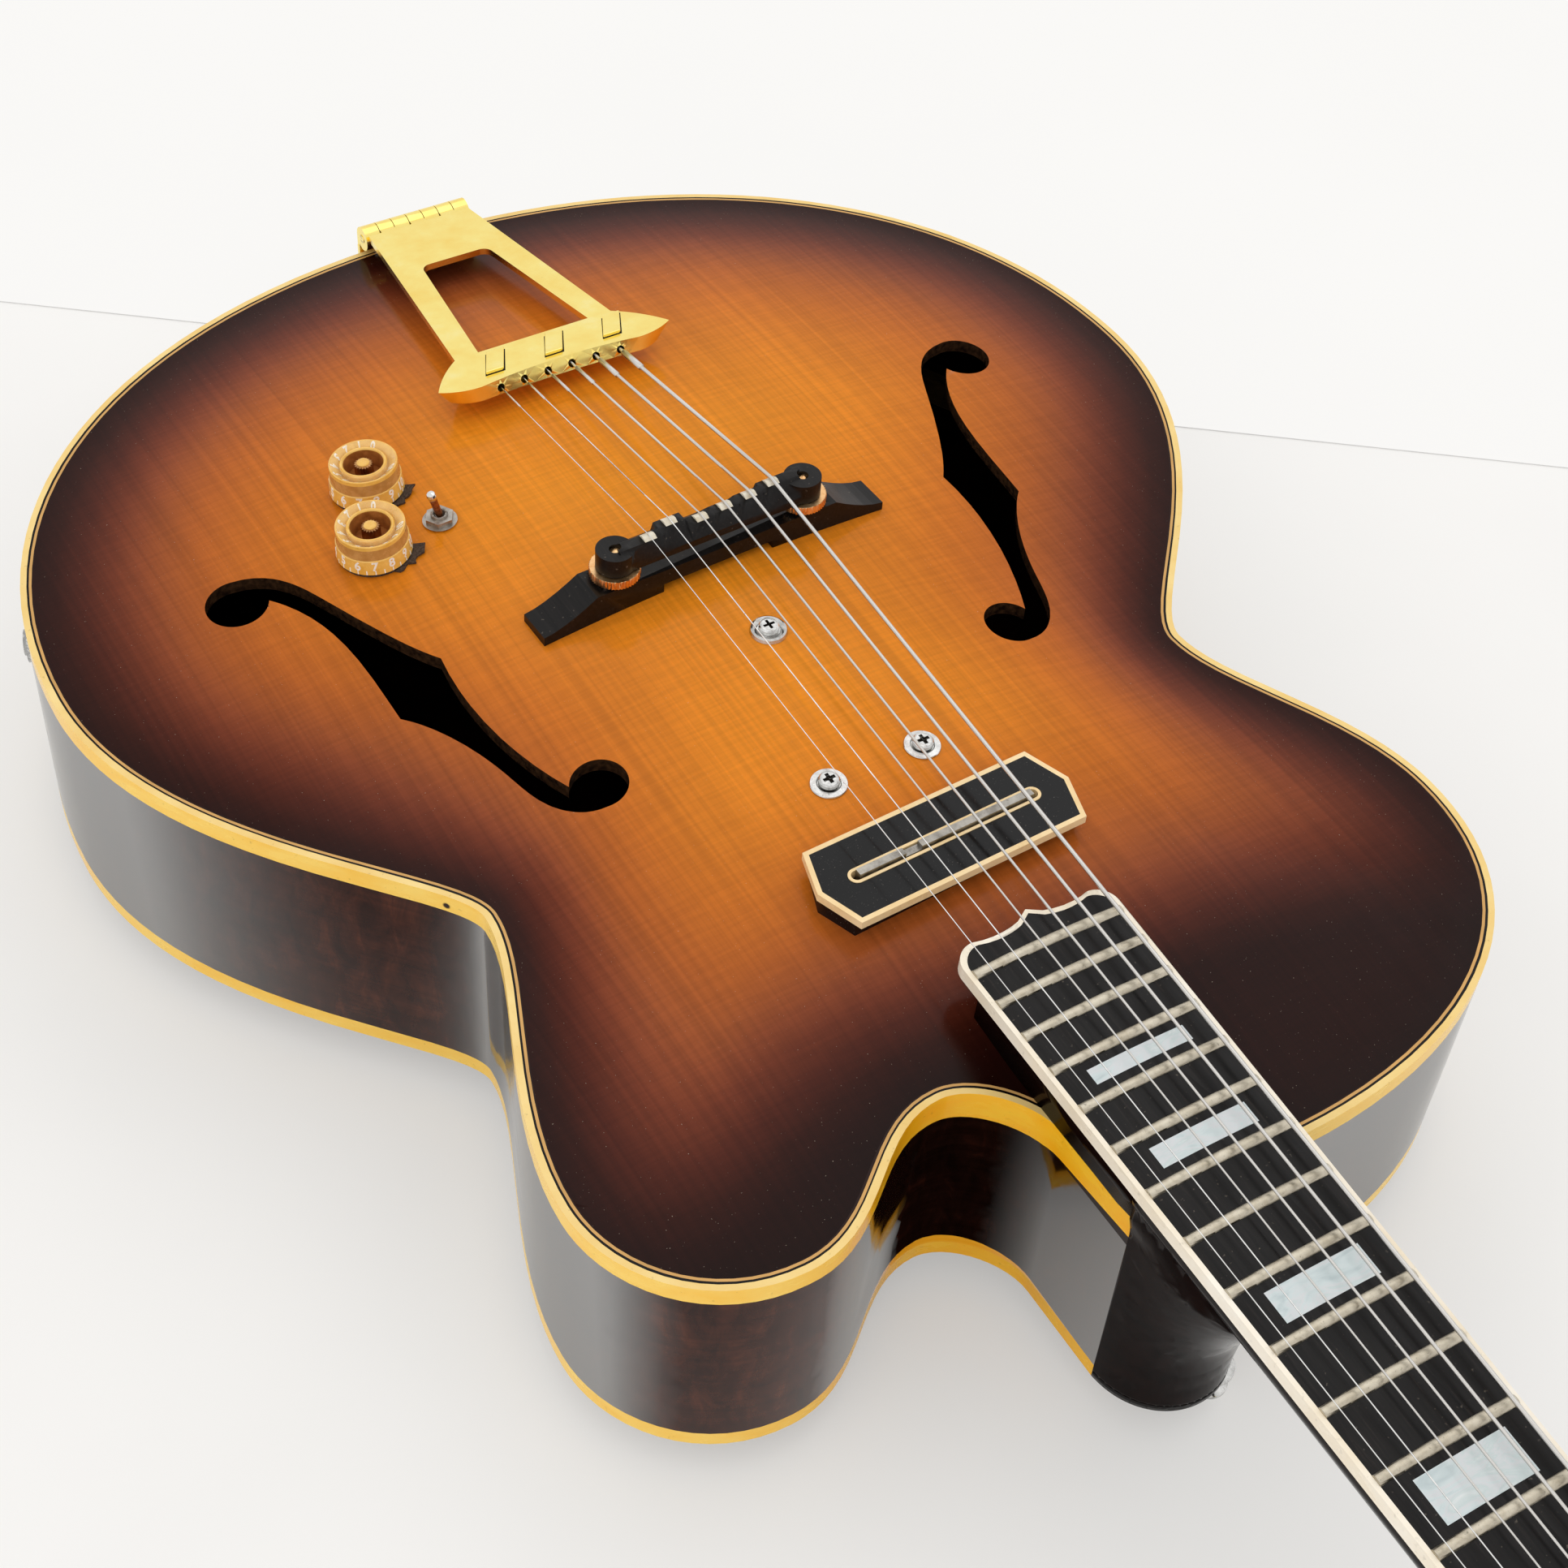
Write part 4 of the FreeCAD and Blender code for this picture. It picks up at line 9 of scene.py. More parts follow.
import bpy
import numpy as np
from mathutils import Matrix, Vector

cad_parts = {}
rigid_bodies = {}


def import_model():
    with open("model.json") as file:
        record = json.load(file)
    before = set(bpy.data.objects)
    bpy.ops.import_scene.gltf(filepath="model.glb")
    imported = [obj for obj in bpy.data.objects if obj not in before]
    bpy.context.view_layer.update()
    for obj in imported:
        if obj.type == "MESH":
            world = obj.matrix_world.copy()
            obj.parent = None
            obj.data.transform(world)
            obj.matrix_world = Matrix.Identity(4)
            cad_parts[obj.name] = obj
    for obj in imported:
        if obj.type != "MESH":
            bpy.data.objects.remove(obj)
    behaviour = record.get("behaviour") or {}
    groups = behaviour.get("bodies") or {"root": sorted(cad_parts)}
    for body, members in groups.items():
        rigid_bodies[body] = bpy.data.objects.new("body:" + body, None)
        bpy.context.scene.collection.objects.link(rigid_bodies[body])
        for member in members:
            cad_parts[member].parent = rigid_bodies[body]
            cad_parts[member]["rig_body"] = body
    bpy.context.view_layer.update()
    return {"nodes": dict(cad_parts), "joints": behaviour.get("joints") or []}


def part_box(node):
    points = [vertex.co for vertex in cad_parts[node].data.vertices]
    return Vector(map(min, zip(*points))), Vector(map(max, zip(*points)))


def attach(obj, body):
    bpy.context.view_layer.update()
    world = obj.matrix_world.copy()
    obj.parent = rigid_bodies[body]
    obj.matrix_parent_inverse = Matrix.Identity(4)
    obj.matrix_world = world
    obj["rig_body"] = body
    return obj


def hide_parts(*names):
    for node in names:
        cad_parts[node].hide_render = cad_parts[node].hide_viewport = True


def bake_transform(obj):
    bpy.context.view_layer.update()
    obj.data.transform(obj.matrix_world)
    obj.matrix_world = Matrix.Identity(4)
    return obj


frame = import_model()

MM = 0.001
WELD = 2e-6
EASE_ANGLE = 35
JOINT_FRET = -1.8389 * MM
RIM_TOP = 0.100


def only(*chosen):
    """Select these pieces alone, the last of them active, or nothing at all."""
    if bpy.context.mode != "OBJECT":
        bpy.ops.object.mode_set(mode="OBJECT")
    bpy.ops.object.select_all(action="DESELECT")
    for piece in chosen:
        piece.select_set(True)
        bpy.context.view_layer.objects.active = piece


def edit_all():
    """Edit the active piece, all of it selected."""
    bpy.ops.object.mode_set(mode="EDIT")
    bpy.ops.mesh.select_all(action="SELECT")


def edit_done():
    """Leave the edit."""
    bpy.ops.object.mode_set(mode="OBJECT")


def slice_piece(place, facing, **options):
    """Cut the active piece along a plane. Both sides stay, unless an option clears one."""
    edit_all()
    bpy.ops.mesh.bisect(plane_co=place, plane_no=facing, **options)
    edit_done()


def fix_place():
    """Put the selected piece's place, turn and scale into its mesh."""
    bpy.ops.object.transform_apply(location=True, rotation=True, scale=True)


def named(name):
    """The piece just added, under its name."""
    piece = bpy.context.object
    piece.name = name
    return piece


def put(name, data):
    """A new piece in the scene."""
    piece = bpy.data.objects.new(name, data)
    bpy.context.scene.collection.objects.link(piece)
    return piece


def shape_by(piece, kind, **settings):
    """Give a piece a modifier and apply it."""
    only(piece)
    step = piece.modifiers.new(kind.lower(), kind)
    for key, value in settings.items():
        setattr(step, key, value)
    bpy.ops.object.modifier_apply(modifier=step.name)


def skin_of(node, name):
    """A welded copy of a solid's mesh, ready to be dressed."""
    piece = put(name, frame["nodes"][node].data.copy())
    only(piece)
    edit_all()
    bpy.ops.mesh.remove_doubles(threshold=WELD)
    edit_done()
    return piece


def settle(piece, finish, slot, body, *nodes, angle=30, even=True):
    """Give a finished piece its finish and the body that carries it. The slot is not used."""
    piece.data.materials.clear()
    piece.data.materials.append(finish)
    only(piece)
    bpy.ops.object.shade_smooth_by_angle(angle=math.radians(angle))
    if even:
        shape_by(piece, "WEIGHTED_NORMAL", keep_sharp=True)
    if nodes:
        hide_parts(*nodes)
    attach(piece, body)
    return piece


def dress(node, finish, slot, even=True):
    """Dress a solid whose shape is right as it is."""
    body = frame["nodes"][node]["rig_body"]
    settle(skin_of(node, node + "_dressed"), finish, slot, body, node, even=even)


def turned(name, profile, sides=48):
    """A closed round piece, drawn out from foot to crown: radius and height in millimetres."""
    only()
    radius, height = profile[0]
    bpy.ops.mesh.primitive_circle_add(vertices=sides, radius=radius * MM, fill_type="NGON",
                                      location=(0, 0, height * MM))
    piece = named(name)
    edit_all()
    for wide, high in profile[1:]:
        bpy.ops.mesh.extrude_region_move(
            TRANSFORM_OT_translate={"value": (0, 0, (high - height) * MM)})
        bpy.ops.transform.resize(value=(wide / radius, wide / radius, 1),
                                 center_override=(0, 0, high * MM))
        radius, height = wide, high
    edit_all()
    bpy.ops.mesh.normals_make_consistent(inside=False)
    edit_done()
    fix_place()
    return piece


def ring(name, corners, sides=48):
    """A round piece with a hole: its section's corners, radius and height in millimetres."""
    only()
    bpy.ops.mesh.primitive_circle_add(vertices=len(corners), radius=MM, fill_type="NOTHING")
    piece = named(name)
    move_points(piece, np.array([(radius * MM, 0, height * MM) for radius, height in corners]))
    edit_all()
    bpy.ops.mesh.spin(steps=sides, angle=2 * math.pi, center=(0, 0, 0), axis=(0, 0, 1))
    edit_all()
    bpy.ops.mesh.remove_doubles(threshold=WELD)
    bpy.ops.mesh.normals_make_consistent(inside=False)
    edit_done()
    return piece


def block(name, low, high):
    """A box between two corners in millimetres."""
    only()
    bpy.ops.mesh.primitive_cube_add(size=MM,
                                    location=[(a + b) / 2 * MM for a, b in zip(low, high)],
                                    scale=[b - a for a, b in zip(low, high)])
    piece = named(name)
    fix_place()
    return piece


def ease(piece, width, segments):
    """Round the sharp edges of a piece a little, width in millimetres."""
    shape_by(piece, "BEVEL", width=width * MM, segments=segments, limit_method="ANGLE",
             angle_limit=math.radians(EASE_ANGLE))


def carve(piece, *tools):
    """Cut tools out of a piece."""
    for tool in tools:
        shape_by(piece, "BOOLEAN", operation="DIFFERENCE", object=tool)
        bpy.data.objects.remove(tool)


def join(first, *others):
    """Several pieces as one."""
    only(*others, first)
    bpy.ops.object.join()
    return first


def stand(piece, seat):
    """Stand an upright piece on its seat, a place and an axis."""
    place, axis = seat
    piece.rotation_mode = "QUATERNION"
    piece.rotation_quaternion = Vector((0, 0, 1)).rotation_difference(Vector(axis))
    piece.location = place
    only(piece)
    fix_place()
    return piece


def joint_seat(name):
    """Where a joint's axis stands."""
    joint = next(joint for joint in frame["joints"] if joint["name"] == name)
    return joint["pos_m"], joint["axis"]


def numbers(items, name, kind=float):
    """What every item holds under a name: rows of three numbers, or whole numbers."""
    values = np.empty(len(items) * (3 if kind is float else 1), dtype=kind)
    items.foreach_get(name, values)
    return values.reshape(-1, 3) if kind is float else values


def places(piece):
    """The points of a piece as rows of numbers."""
    return numbers(piece.data.vertices, "co")


def move_points(piece, points):
    """Put the points of a piece at new places."""
    piece.data.vertices.foreach_set("co", points.ravel())
    piece.data.update()


def paint(piece, name, values):
    """Keep one number per point, for a finish to read."""
    layer = piece.data.attributes.new(name, "FLOAT", "POINT")
    layer.data.foreach_set("value", np.asarray(values, dtype=np.float32))


def tone(red, green, blue):
    """A colour as a screen shows it, 0 to 255, as linear light."""
    shares = [channel / 255 for channel in (red, green, blue)]
    return tuple(s / 12.92 if s < 0.04 else ((s + 0.055) / 1.055) ** 2.4 for s in shares) + (1.0,)


def grey(level):
    """A plain grey of linear light."""
    return (level, level, level, 1.0)


CLOUD_LOW, CLOUD_HIGH = 0.3, 0.7


class Finish:
    """A shader with its constants, and the patterns that are linked into it."""

    def __init__(self, name, **constants):
        self.material = bpy.data.materials.new(name)
        self.material.use_nodes = True
        self.tree = self.material.node_tree
        self.shader = self.tree.nodes["Principled BSDF"]
        self.place = self.add("ShaderNodeTexCoord").outputs["Object"]
        names = {"metal": "Metallic", "gloss": "Specular IOR Level", "bend": "IOR",
                 "coat": "Coat Weight", "coat_rough": "Coat Roughness",
                 "colour": "Base Color", "alpha": "Alpha"}
        for key, value in constants.items():
            self.shader.inputs[names[key]].default_value = value

    def add(self, kind, settings=(), **inputs):
        """A node with its settings and its inputs, values or links."""
        node = self.tree.nodes.new(kind)
        for key, value in dict(settings).items():
            setattr(node, key, value)
        for key, value in inputs.items():
            self.feed(node.inputs[key.replace("_", " ")], value)
        return node

    def feed(self, socket, value):
        """Link a socket, or set it."""
        if isinstance(value, bpy.types.NodeSocket):
            self.tree.links.new(value, socket)
        else:
            socket.default_value = value

    def noise(self, stretch, detail=3.0, roughness=0.5, distortion=0.0, turn=(0, 0, 0)):
        """Cloudy noise, with so many grains to the metre, all ways alike or each its own."""
        if not isinstance(stretch, tuple):
            stretch = (stretch, stretch, stretch)
        mapped = self.add("ShaderNodeMapping", Vector=self.place, Scale=stretch, Rotation=turn)
        return self.add("ShaderNodeTexNoise", Vector=mapped.outputs[0], Scale=1.0, Detail=detail,
                        Roughness=roughness, Distortion=distortion).outputs[0]

    def layer(self, name):
        """The numbers painted on the piece."""
        return self.add("ShaderNodeAttribute", {"attribute_name": name}).outputs["Fac"]

    def upward(self):
        """How far a face looks up, from -1 to 1."""
        normal = self.add("ShaderNodeNewGeometry").outputs["Normal"]
        return self.add("ShaderNodeSeparateXYZ", Vector=normal).outputs["Z"]

    def glance(self):
        """How far a face turns from the eye, 0 facing it to 1 edge on, for gloss."""
        return self.add("ShaderNodeLayerWeight", Blend=0.5).outputs["Facing"]

    def gap_from(self, spot):
        """How far a point lies from a spot, in metres."""
        node = self.add("ShaderNodeVectorMath", {"operation": "DISTANCE"}, Vector=self.place)
        node.inputs[1].default_value = spot
        return node.outputs["Value"]

    def ramp(self, share, stops, sharp=False):
        """Colours along a share, as a screen shows them or as linear light."""
        node = self.add("ShaderNodeValToRGB", Fac=share)
        band = node.color_ramp
        band.interpolation = "CONSTANT" if sharp else "LINEAR"
        while len(band.elements) < len(stops):
            band.elements.new(1.0)
        for element, (position, colour) in zip(band.elements, stops):
            element.position = position
            element.color = colour if len(colour) == 4 else tone(*colour)
        return node.outputs[0]

    def span(self, value, low, high, start=0.0, end=1.0):
        """A value moved from one range to another."""
        node = self.add("ShaderNodeMapRange", Value=value, From_Min=low, From_Max=high,
                        To_Min=start, To_Max=end)
        return node.outputs[0]

    def tones(self, pattern, dark, bright):
        """Two screen colours, clouded by a pattern."""
        return self.ramp(pattern, [(CLOUD_LOW, dark), (CLOUD_HIGH, bright)])

    def wear(self, pattern, start, end):
        """A number that is clouded by a pattern."""
        return self.span(pattern, CLOUD_LOW, CLOUD_HIGH, start, end)

    def mix(self, share, under, over, blend="MIX"):
        """Two colours together."""
        node = self.add("ShaderNodeMix", {"data_type": "RGBA", "blend_type": blend})
        self.feed(node.inputs[0], share)
        self.feed(node.inputs[6], under)
        self.feed(node.inputs[7], over)
        return node.outputs[2]

    def darken(self, colour, pattern, low, high, floor, ceiling=1.0):
        """Shade a colour by a pattern."""
        shade = self.ramp(self.span(pattern, low, high),
                          [(0.0, grey(floor)), (1.0, grey(ceiling))])
        return self.mix(1.0, colour, shade, "MULTIPLY")

    def coat_with(self, colour=None, rough=None, bump=None, strength=0.1, height=0.2 * MM):
        """Link the patterns into the shader."""
        if colour is not None:
            self.feed(self.shader.inputs["Base Color"], colour)
        if rough is not None:
            self.feed(self.shader.inputs["Roughness"], rough)
        if bump is not None:
            node = self.add("ShaderNodeBump", Height=bump, Strength=strength, Distance=height)
            self.feed(self.shader.inputs["Normal"], node.outputs[0])
        return self.material


BURST = [(0, (26, 8, 5)), (8, (36, 12, 8)), (16, (50, 19, 12)), (26, (78, 33, 21)),
         (36, (108, 50, 30)), (44, (132, 65, 36)), (52, (150, 77, 37)), (66, (175, 92, 34)),
         (86, (196, 107, 31)), (106, (209, 119, 30)), (130, (220, 129, 29)), (200, (230, 142, 29))]
BURST_REACH = 200.0


def sunburst_lacquer():
    """Spruce under a shaded lacquer: honey in the middle, near black at the rim."""
    f = Finish("sunburst_lacquer", gloss=0.1)
    burst = f.ramp(f.layer("burst"), [(at / BURST_REACH, seen) for at, seen in BURST])
    rings = f.noise((520, 3, 3), detail=2.0, roughness=0.6)
    silk = f.noise((60, 700, 60), detail=2.0, roughness=0.6)
    cloud = f.noise((14, 9, 14), detail=4.0)
    wood = f.darken(burst, rings, 0.32, 0.68, 0.86, 1.07)
    wood = f.darken(wood, silk, 0.35, 0.65, 0.94, 1.05)
    wood = f.darken(wood, cloud, 0.3, 0.7, 0.93, 1.06)
    dust = f.span(f.noise(1900, detail=1.0), 0.77, 0.81, 0.0, 0.45)
    wood = f.mix(dust, wood, tone(205, 190, 170))
    raw = f.tones(f.noise(500, detail=2.0), (26, 16, 11), (64, 43, 27))
    wall = f.span(f.upward(), 0.55, 0.75, 1.0, 0.0)
    wood = f.mix(wall, wood, raw)
    rough = f.wear(f.noise(60, detail=5.0), 0.10, 0.22)
    return f.coat_with(wood, rough, rings, strength=0.03, height=0.1 * MM)


def side_lacquer():
    """Dark brown lacquer over bent maple, by its painted layers duller or amber, and lighter and
    ruddier by a layer of painted light.
    """
    f = Finish("side_lacquer", gloss=0.1, bend=2.5)
    streak = f.noise((9, 9, 420), detail=4.0, roughness=0.6)
    mottle = f.noise((130, 130, 60), detail=5.0, roughness=0.65, distortion=0.6)
    wood = f.ramp(mottle, [(0.34, (14, 6, 4)), (0.56, (26, 11, 7)),
                           (0.76, (50, 22, 13))])
    # painted light: a lighter, ruddier copy of the wood colour, laid where the side faces the neck,
    # standing in for how that face is lit
    ruddy = f.ramp(mottle, [(0.34, (44, 17, 9)), (0.56, (66, 31, 19)),
                            (0.76, (92, 46, 27))])
    wood = f.mix(f.layer("ruddy"), wood, ruddy)
    wood = f.darken(wood, streak, 0.35, 0.65, 0.72, 1.12)
    amber = f.tones(streak, (250, 170, 34), (255, 192, 60))
    wood = f.mix(f.span(f.layer("flare"), 0.01, 0.05), wood, amber)
    sheen = f.span(f.glance(), 0.42, 0.62, 0.09, 1.0)
    sheen = f.add("ShaderNodeMath", {"operation": "MULTIPLY"}, Value=sheen)
    f.feed(sheen.inputs[1], f.layer("shine"))
    f.feed(f.shader.inputs["Specular IOR Level"], sheen.outputs[0])
    rough = f.wear(f.noise((40, 40, 300), detail=5.0), 0.05, 0.12)
    return f.coat_with(wood, rough, streak, strength=0.015, height=0.1 * MM)


def neck_lacquer():
    """Very dark lacquer on the neck and heel."""
    f = Finish("neck_lacquer", gloss=0.03)
    streak = f.noise((260, 7, 120), detail=4.0, roughness=0.6)
    wood = f.tones(streak, (9, 5, 4), (24, 11, 8))
    rough = f.wear(f.noise((50, 30, 50), detail=5.0), 0.06, 0.14)
    return f.coat_with(wood, rough, streak, strength=0.015, height=0.1 * MM)


def inner_wood():
    """Bare wood inside the body."""
    f = Finish("inner_wood", gloss=0.2)
    streak = f.noise((300, 6, 300), detail=4.0, roughness=0.6)
    wood = f.tones(streak, (84, 58, 36), (126, 92, 58))
    return f.coat_with(wood, f.wear(streak, 0.7, 0.9), streak, strength=0.2)


def ebony():
    """Oiled black wood with fine pores and a little dust."""
    f = Finish("ebony", gloss=0.2)
    pores = f.noise((900, 28, 900), detail=3.0, roughness=0.6)
    wood = f.ramp(pores, [(0.3, (8, 7, 7)), (0.62, (22, 19, 18)), (0.75, (38, 32, 29))])
    dust = f.span(f.noise(700, detail=2.0), 0.70, 0.80, 0.0, 0.35)
    wood = f.mix(dust, wood, tone(150, 138, 124))
    rough = f.wear(f.noise((90, 60, 90), detail=5.0), 0.24, 0.46)
    return f.coat_with(wood, rough, pores, strength=0.12, height=0.1 * MM)


PIN_HOLE = (0.1403, -0.2049, 0.0955)


def aged_binding():
    """Celluloid, paler on its upward faces and amber in the cutaway."""
    f = Finish("aged_binding", gloss=0.15)
    cloud = f.noise((45, 45, 120), detail=5.0, roughness=0.6)
    side = f.mix(f.layer("amber"), f.tones(cloud, (252, 198, 78), (255, 216, 110)),
                 f.tones(cloud, (255, 178, 20), (255, 200, 48)))
    top = f.tones(cloud, (238, 200, 120), (248, 220, 150))
    face = f.mix(f.span(f.upward(), 0.35, 0.8), side, top)
    grime = f.noise(520, detail=3.0)
    face = f.darken(face, grime, 0.66, 0.74, 1.0, 0.8)
    face = f.mix(f.span(f.layer("covered"), 0.01, 0.05), face, tone(30, 13, 9))
    # painted shade: a dark spot standing in for the shade inside a screw hole in the binding
    face = f.mix(f.span(f.gap_from(PIN_HOLE), 0.9 * MM, 1.5 * MM, 1.0, 0.0), face, tone(38, 20, 10))
    rough = f.wear(cloud, 0.16, 0.32)
    return f.coat_with(face, rough, grime, strength=0.03)


def purfling_lines():
    """Black, cream and dark lines let into the edge of the top."""
    f = Finish("purfling_lines", gloss=0.15)
    lines = f.ramp(f.layer("inset"), [(0.0, (16, 10, 8)), (0.36, (214, 166, 100)),
                                      (0.82, (36, 15, 10))], sharp=True)
    cloud = f.noise(70, detail=5.0)
    return f.coat_with(f.darken(lines, cloud, 0.3, 0.7, 0.82, 1.05), f.wear(cloud, 0.14, 0.26))


def mother_of_pearl():
    """Shell inlay with clouded bands of faint colour."""
    f = Finish("mother_of_pearl", gloss=0.25)
    band = f.noise((46, 110, 46), detail=3.0, roughness=0.55, distortion=2.2, turn=(0, 0, 0.5))
    face = f.ramp(band, [(0.28, (190, 203, 205)), (0.42, (208, 219, 220)),
                         (0.5, (214, 217, 219)), (0.6, (202, 214, 214)),
                         (0.74, (222, 227, 227))])
    return f.coat_with(face, f.wear(band, 0.12, 0.28), band, strength=0.02)


def black_gloss():
    """Polished black plastic under a film of dust."""
    f = Finish("black_gloss", gloss=0.2)
    cloud = f.noise(60, detail=5.0)
    dust = f.span(f.noise(2200, detail=1.5), 0.70, 0.80, 0.0, 0.4)
    face = f.mix(dust, f.tones(cloud, (9, 9, 10), (17, 17, 18)), tone(168, 160, 150))
    return f.coat_with(face, f.wear(cloud, 0.08, 0.2))


def gold_plate():
    """Worn gold plating: fine brushing, paler rubbed patches, a few dark spots."""
    f = Finish("gold_plate", metal=1.0)
    rub = f.noise(70, detail=5.0, roughness=0.6)
    face = f.ramp(rub, [(0.3, (253, 221, 118)), (0.6, (255, 234, 140)),
                        (0.78, (255, 240, 164))])
    spots = f.noise(620, detail=3.0)
    face = f.darken(face, spots, 0.72, 0.80, 1.0, 0.84)
    brush = f.noise((900, 60, 400), detail=2.0)
    rough = f.span(rub, 0.3, 0.75, 0.16, 0.26)
    return f.coat_with(face, rough, brush, strength=0.01, height=0.05 * MM)


def bright_metal(name, dark, bright, low, high):
    """Plated or polished metal with clouded wear."""
    f = Finish(name, metal=1.0)
    wear = f.noise(240, detail=5.0, roughness=0.65)
    face = f.ramp(wear, [(0.3, dark), (0.66, bright)])
    spots = f.noise(1200, detail=2.0)
    face = f.darken(face, spots, 0.64, 0.76, 1.0, 0.6)
    rough = f.wear(wear, low, high)
    return f.coat_with(face, rough, spots, strength=0.06, height=0.05 * MM)


def wound_steel():
    """Wrap wire on the low strings, with painted shade in the grooves between the wraps."""
    f = Finish("wound_steel", metal=1.0)
    coil = f.add("ShaderNodeTexWave", {"bands_direction": "Y"}, Vector=f.place, Scale=900.0,
                 Distortion=0.0)
    # painted shade: the colour darkens in the grooves between the wraps, where the bump sinks
    face = f.ramp(coil.outputs[0], [(0.0, (176, 172, 166)), (0.6, (222, 220, 216))])
    return f.coat_with(face, f.wear(f.noise((200, 60, 200)), 0.25, 0.4), coil.outputs[0],
                       strength=0.12, height=0.1 * MM)


def gold_paint():
    """Gold paint under the knobs' plastic, a little uneven."""
    f = Finish("gold_paint", gloss=0.3, coat=0.6, coat_rough=0.05)
    cloud = f.noise(260, detail=4.0)
    face = f.tones(cloud, (230, 174, 68), (248, 200, 104))
    shine = f.noise(2400, detail=1.0)
    face = f.darken(face, shine, 0.3, 0.7, 0.96, 1.03)
    return f.coat_with(face, f.wear(cloud, 0.24, 0.36))


def clear_amber():
    """The crowns' clear amber skin, a little hazed."""
    f = Finish("clear_amber", alpha=0.08, colour=tone(255, 236, 196))
    haze = f.noise(500, detail=2.0)
    return f.coat_with(None, f.wear(haze, 0.01, 0.05))


def coppery_lever():
    """Tarnished lever, coppery below, polished at its tip."""
    f = Finish("coppery_lever", metal=1.0)
    wear = f.noise(900, detail=4.0)
    shank = f.tones(wear, (112, 70, 42), (176, 122, 82))
    face = f.mix(f.span(f.layer("tip"), 0.70, 0.78), shank, tone(222, 222, 220))
    return f.coat_with(face, f.span(f.layer("tip"), 0.70, 0.78, 0.42, 0.14), wear, strength=0.05)


def white_figures():
    """White paint of the numbers, a little worn."""
    f = Finish("white_figures", gloss=0.2)
    wear = f.noise(1400, detail=3.0)
    face = f.ramp(wear, [(0.3, (236, 226, 204)), (0.6, (255, 252, 246))])
    return f.coat_with(face, f.wear(wear, 0.4, 0.6))


def clouded(name, grain, detail, dark, bright, low, high, nap=0.0, **constants):
    """A plain finish between two colours, with its roughness from low to high and its nap."""
    f = Finish(name, **constants)
    cloud = f.noise(grain, detail=detail)
    return f.coat_with(f.tones(cloud, dark, bright), f.wear(cloud, low, high),
                       cloud if nap else None, strength=nap)


def grimy_cream(name, gloss, stretch, dark, bright, grain, specks, shade, nap):
    """Cream plastic with specks of grime: their grain, their share of the pattern, their shade."""
    f = Finish(name, gloss=gloss)
    cloud = f.noise(stretch, detail=5.0, roughness=0.6)
    grime = f.noise(grain, detail=3.0)
    face = f.darken(f.tones(cloud, dark, bright), grime, *specks, 1.0, shade)
    return f.coat_with(face, f.wear(cloud, 0.2, 0.4), grime, strength=nap)


SUNBURST = sunburst_lacquer()
SIDES = side_lacquer()
NECK_WOOD = neck_lacquer()
BARE_WOOD = inner_wood()
EBONY = ebony()
BINDING = aged_binding()
BOARD_EDGE = grimy_cream("pale_binding", 0.3, (60, 40, 60), (244, 230, 204), (255, 248, 234),
                         420, (0.64, 0.74), 0.84, 0.04)
CREAM = grimy_cream("cream_edge", 0.2, 90, (240, 206, 148), (254, 228, 180),
                    620, (0.68, 0.76), 0.7, 0.03)
LINES = purfling_lines()
PEARL = mother_of_pearl()
BONE = clouded("white_bone", 260, 4.0, (206, 194, 168), (238, 232, 216), 0.3, 0.5,
               nap=0.08, gloss=0.25)
BLACK = black_gloss()
GOLD = gold_plate()
NICKEL = bright_metal("nickel_plate", (176, 176, 174), (226, 226, 224), 0.1, 0.24)
ROSE_GOLD = bright_metal("rose_gold", (216, 160, 104), (255, 212, 156), 0.24, 0.4)
STEEL = bright_metal("worn_steel", (118, 114, 108), (186, 182, 174), 0.28, 0.48)
PLAIN_STEEL = bright_metal("plain_string_steel", (206, 206, 204), (242, 242, 240), 0.18, 0.3)
FRET_METAL = bright_metal("fret_metal", (176, 166, 146), (216, 208, 190), 0.3, 0.5)
SWITCH_METAL = bright_metal("dull_switch_metal", (138, 130, 120), (196, 190, 182), 0.34, 0.5)
WOUND = wound_steel()
DARK_METAL = bright_metal("dull_dark_metal", (44, 42, 40), (82, 78, 74), 0.4, 0.6)
GOLD_PAINT = gold_paint()
RIB_BRASS = bright_metal("rib_brass", (150, 104, 66), (206, 158, 104), 0.3, 0.45)
WELL_BROWN = clouded("well_brown", 400, 4.0, (150, 86, 36), (194, 122, 58), 0.3, 0.5,
                     nap=0.1, gloss=0.3)
CLEAR_AMBER = clear_amber()
BAND_PAINT = clouded("band_paint", 300, 4.0, (182, 130, 66), (208, 158, 92), 0.2, 0.34,
                     gloss=0.4, coat=0.6, coat_rough=0.04)
LEVER = coppery_lever()
FIGURES = white_figures()
# painted shade: a near-black finish for dark strips and discs put where only shade lies, in the
# crossbar's slits and in the screws' recesses
PAINTED_SHADE = clouded("painted_recess_shade", 900, 3.0, (16, 13, 11), (44, 37, 30), 0.7, 0.9,
                nap=0.2, gloss=0.1)
FELT = clouded("dark_felt", 1600, 3.0, (46, 35, 29), (92, 76, 64), 0.75, 0.95,
               nap=0.6, gloss=0.2)

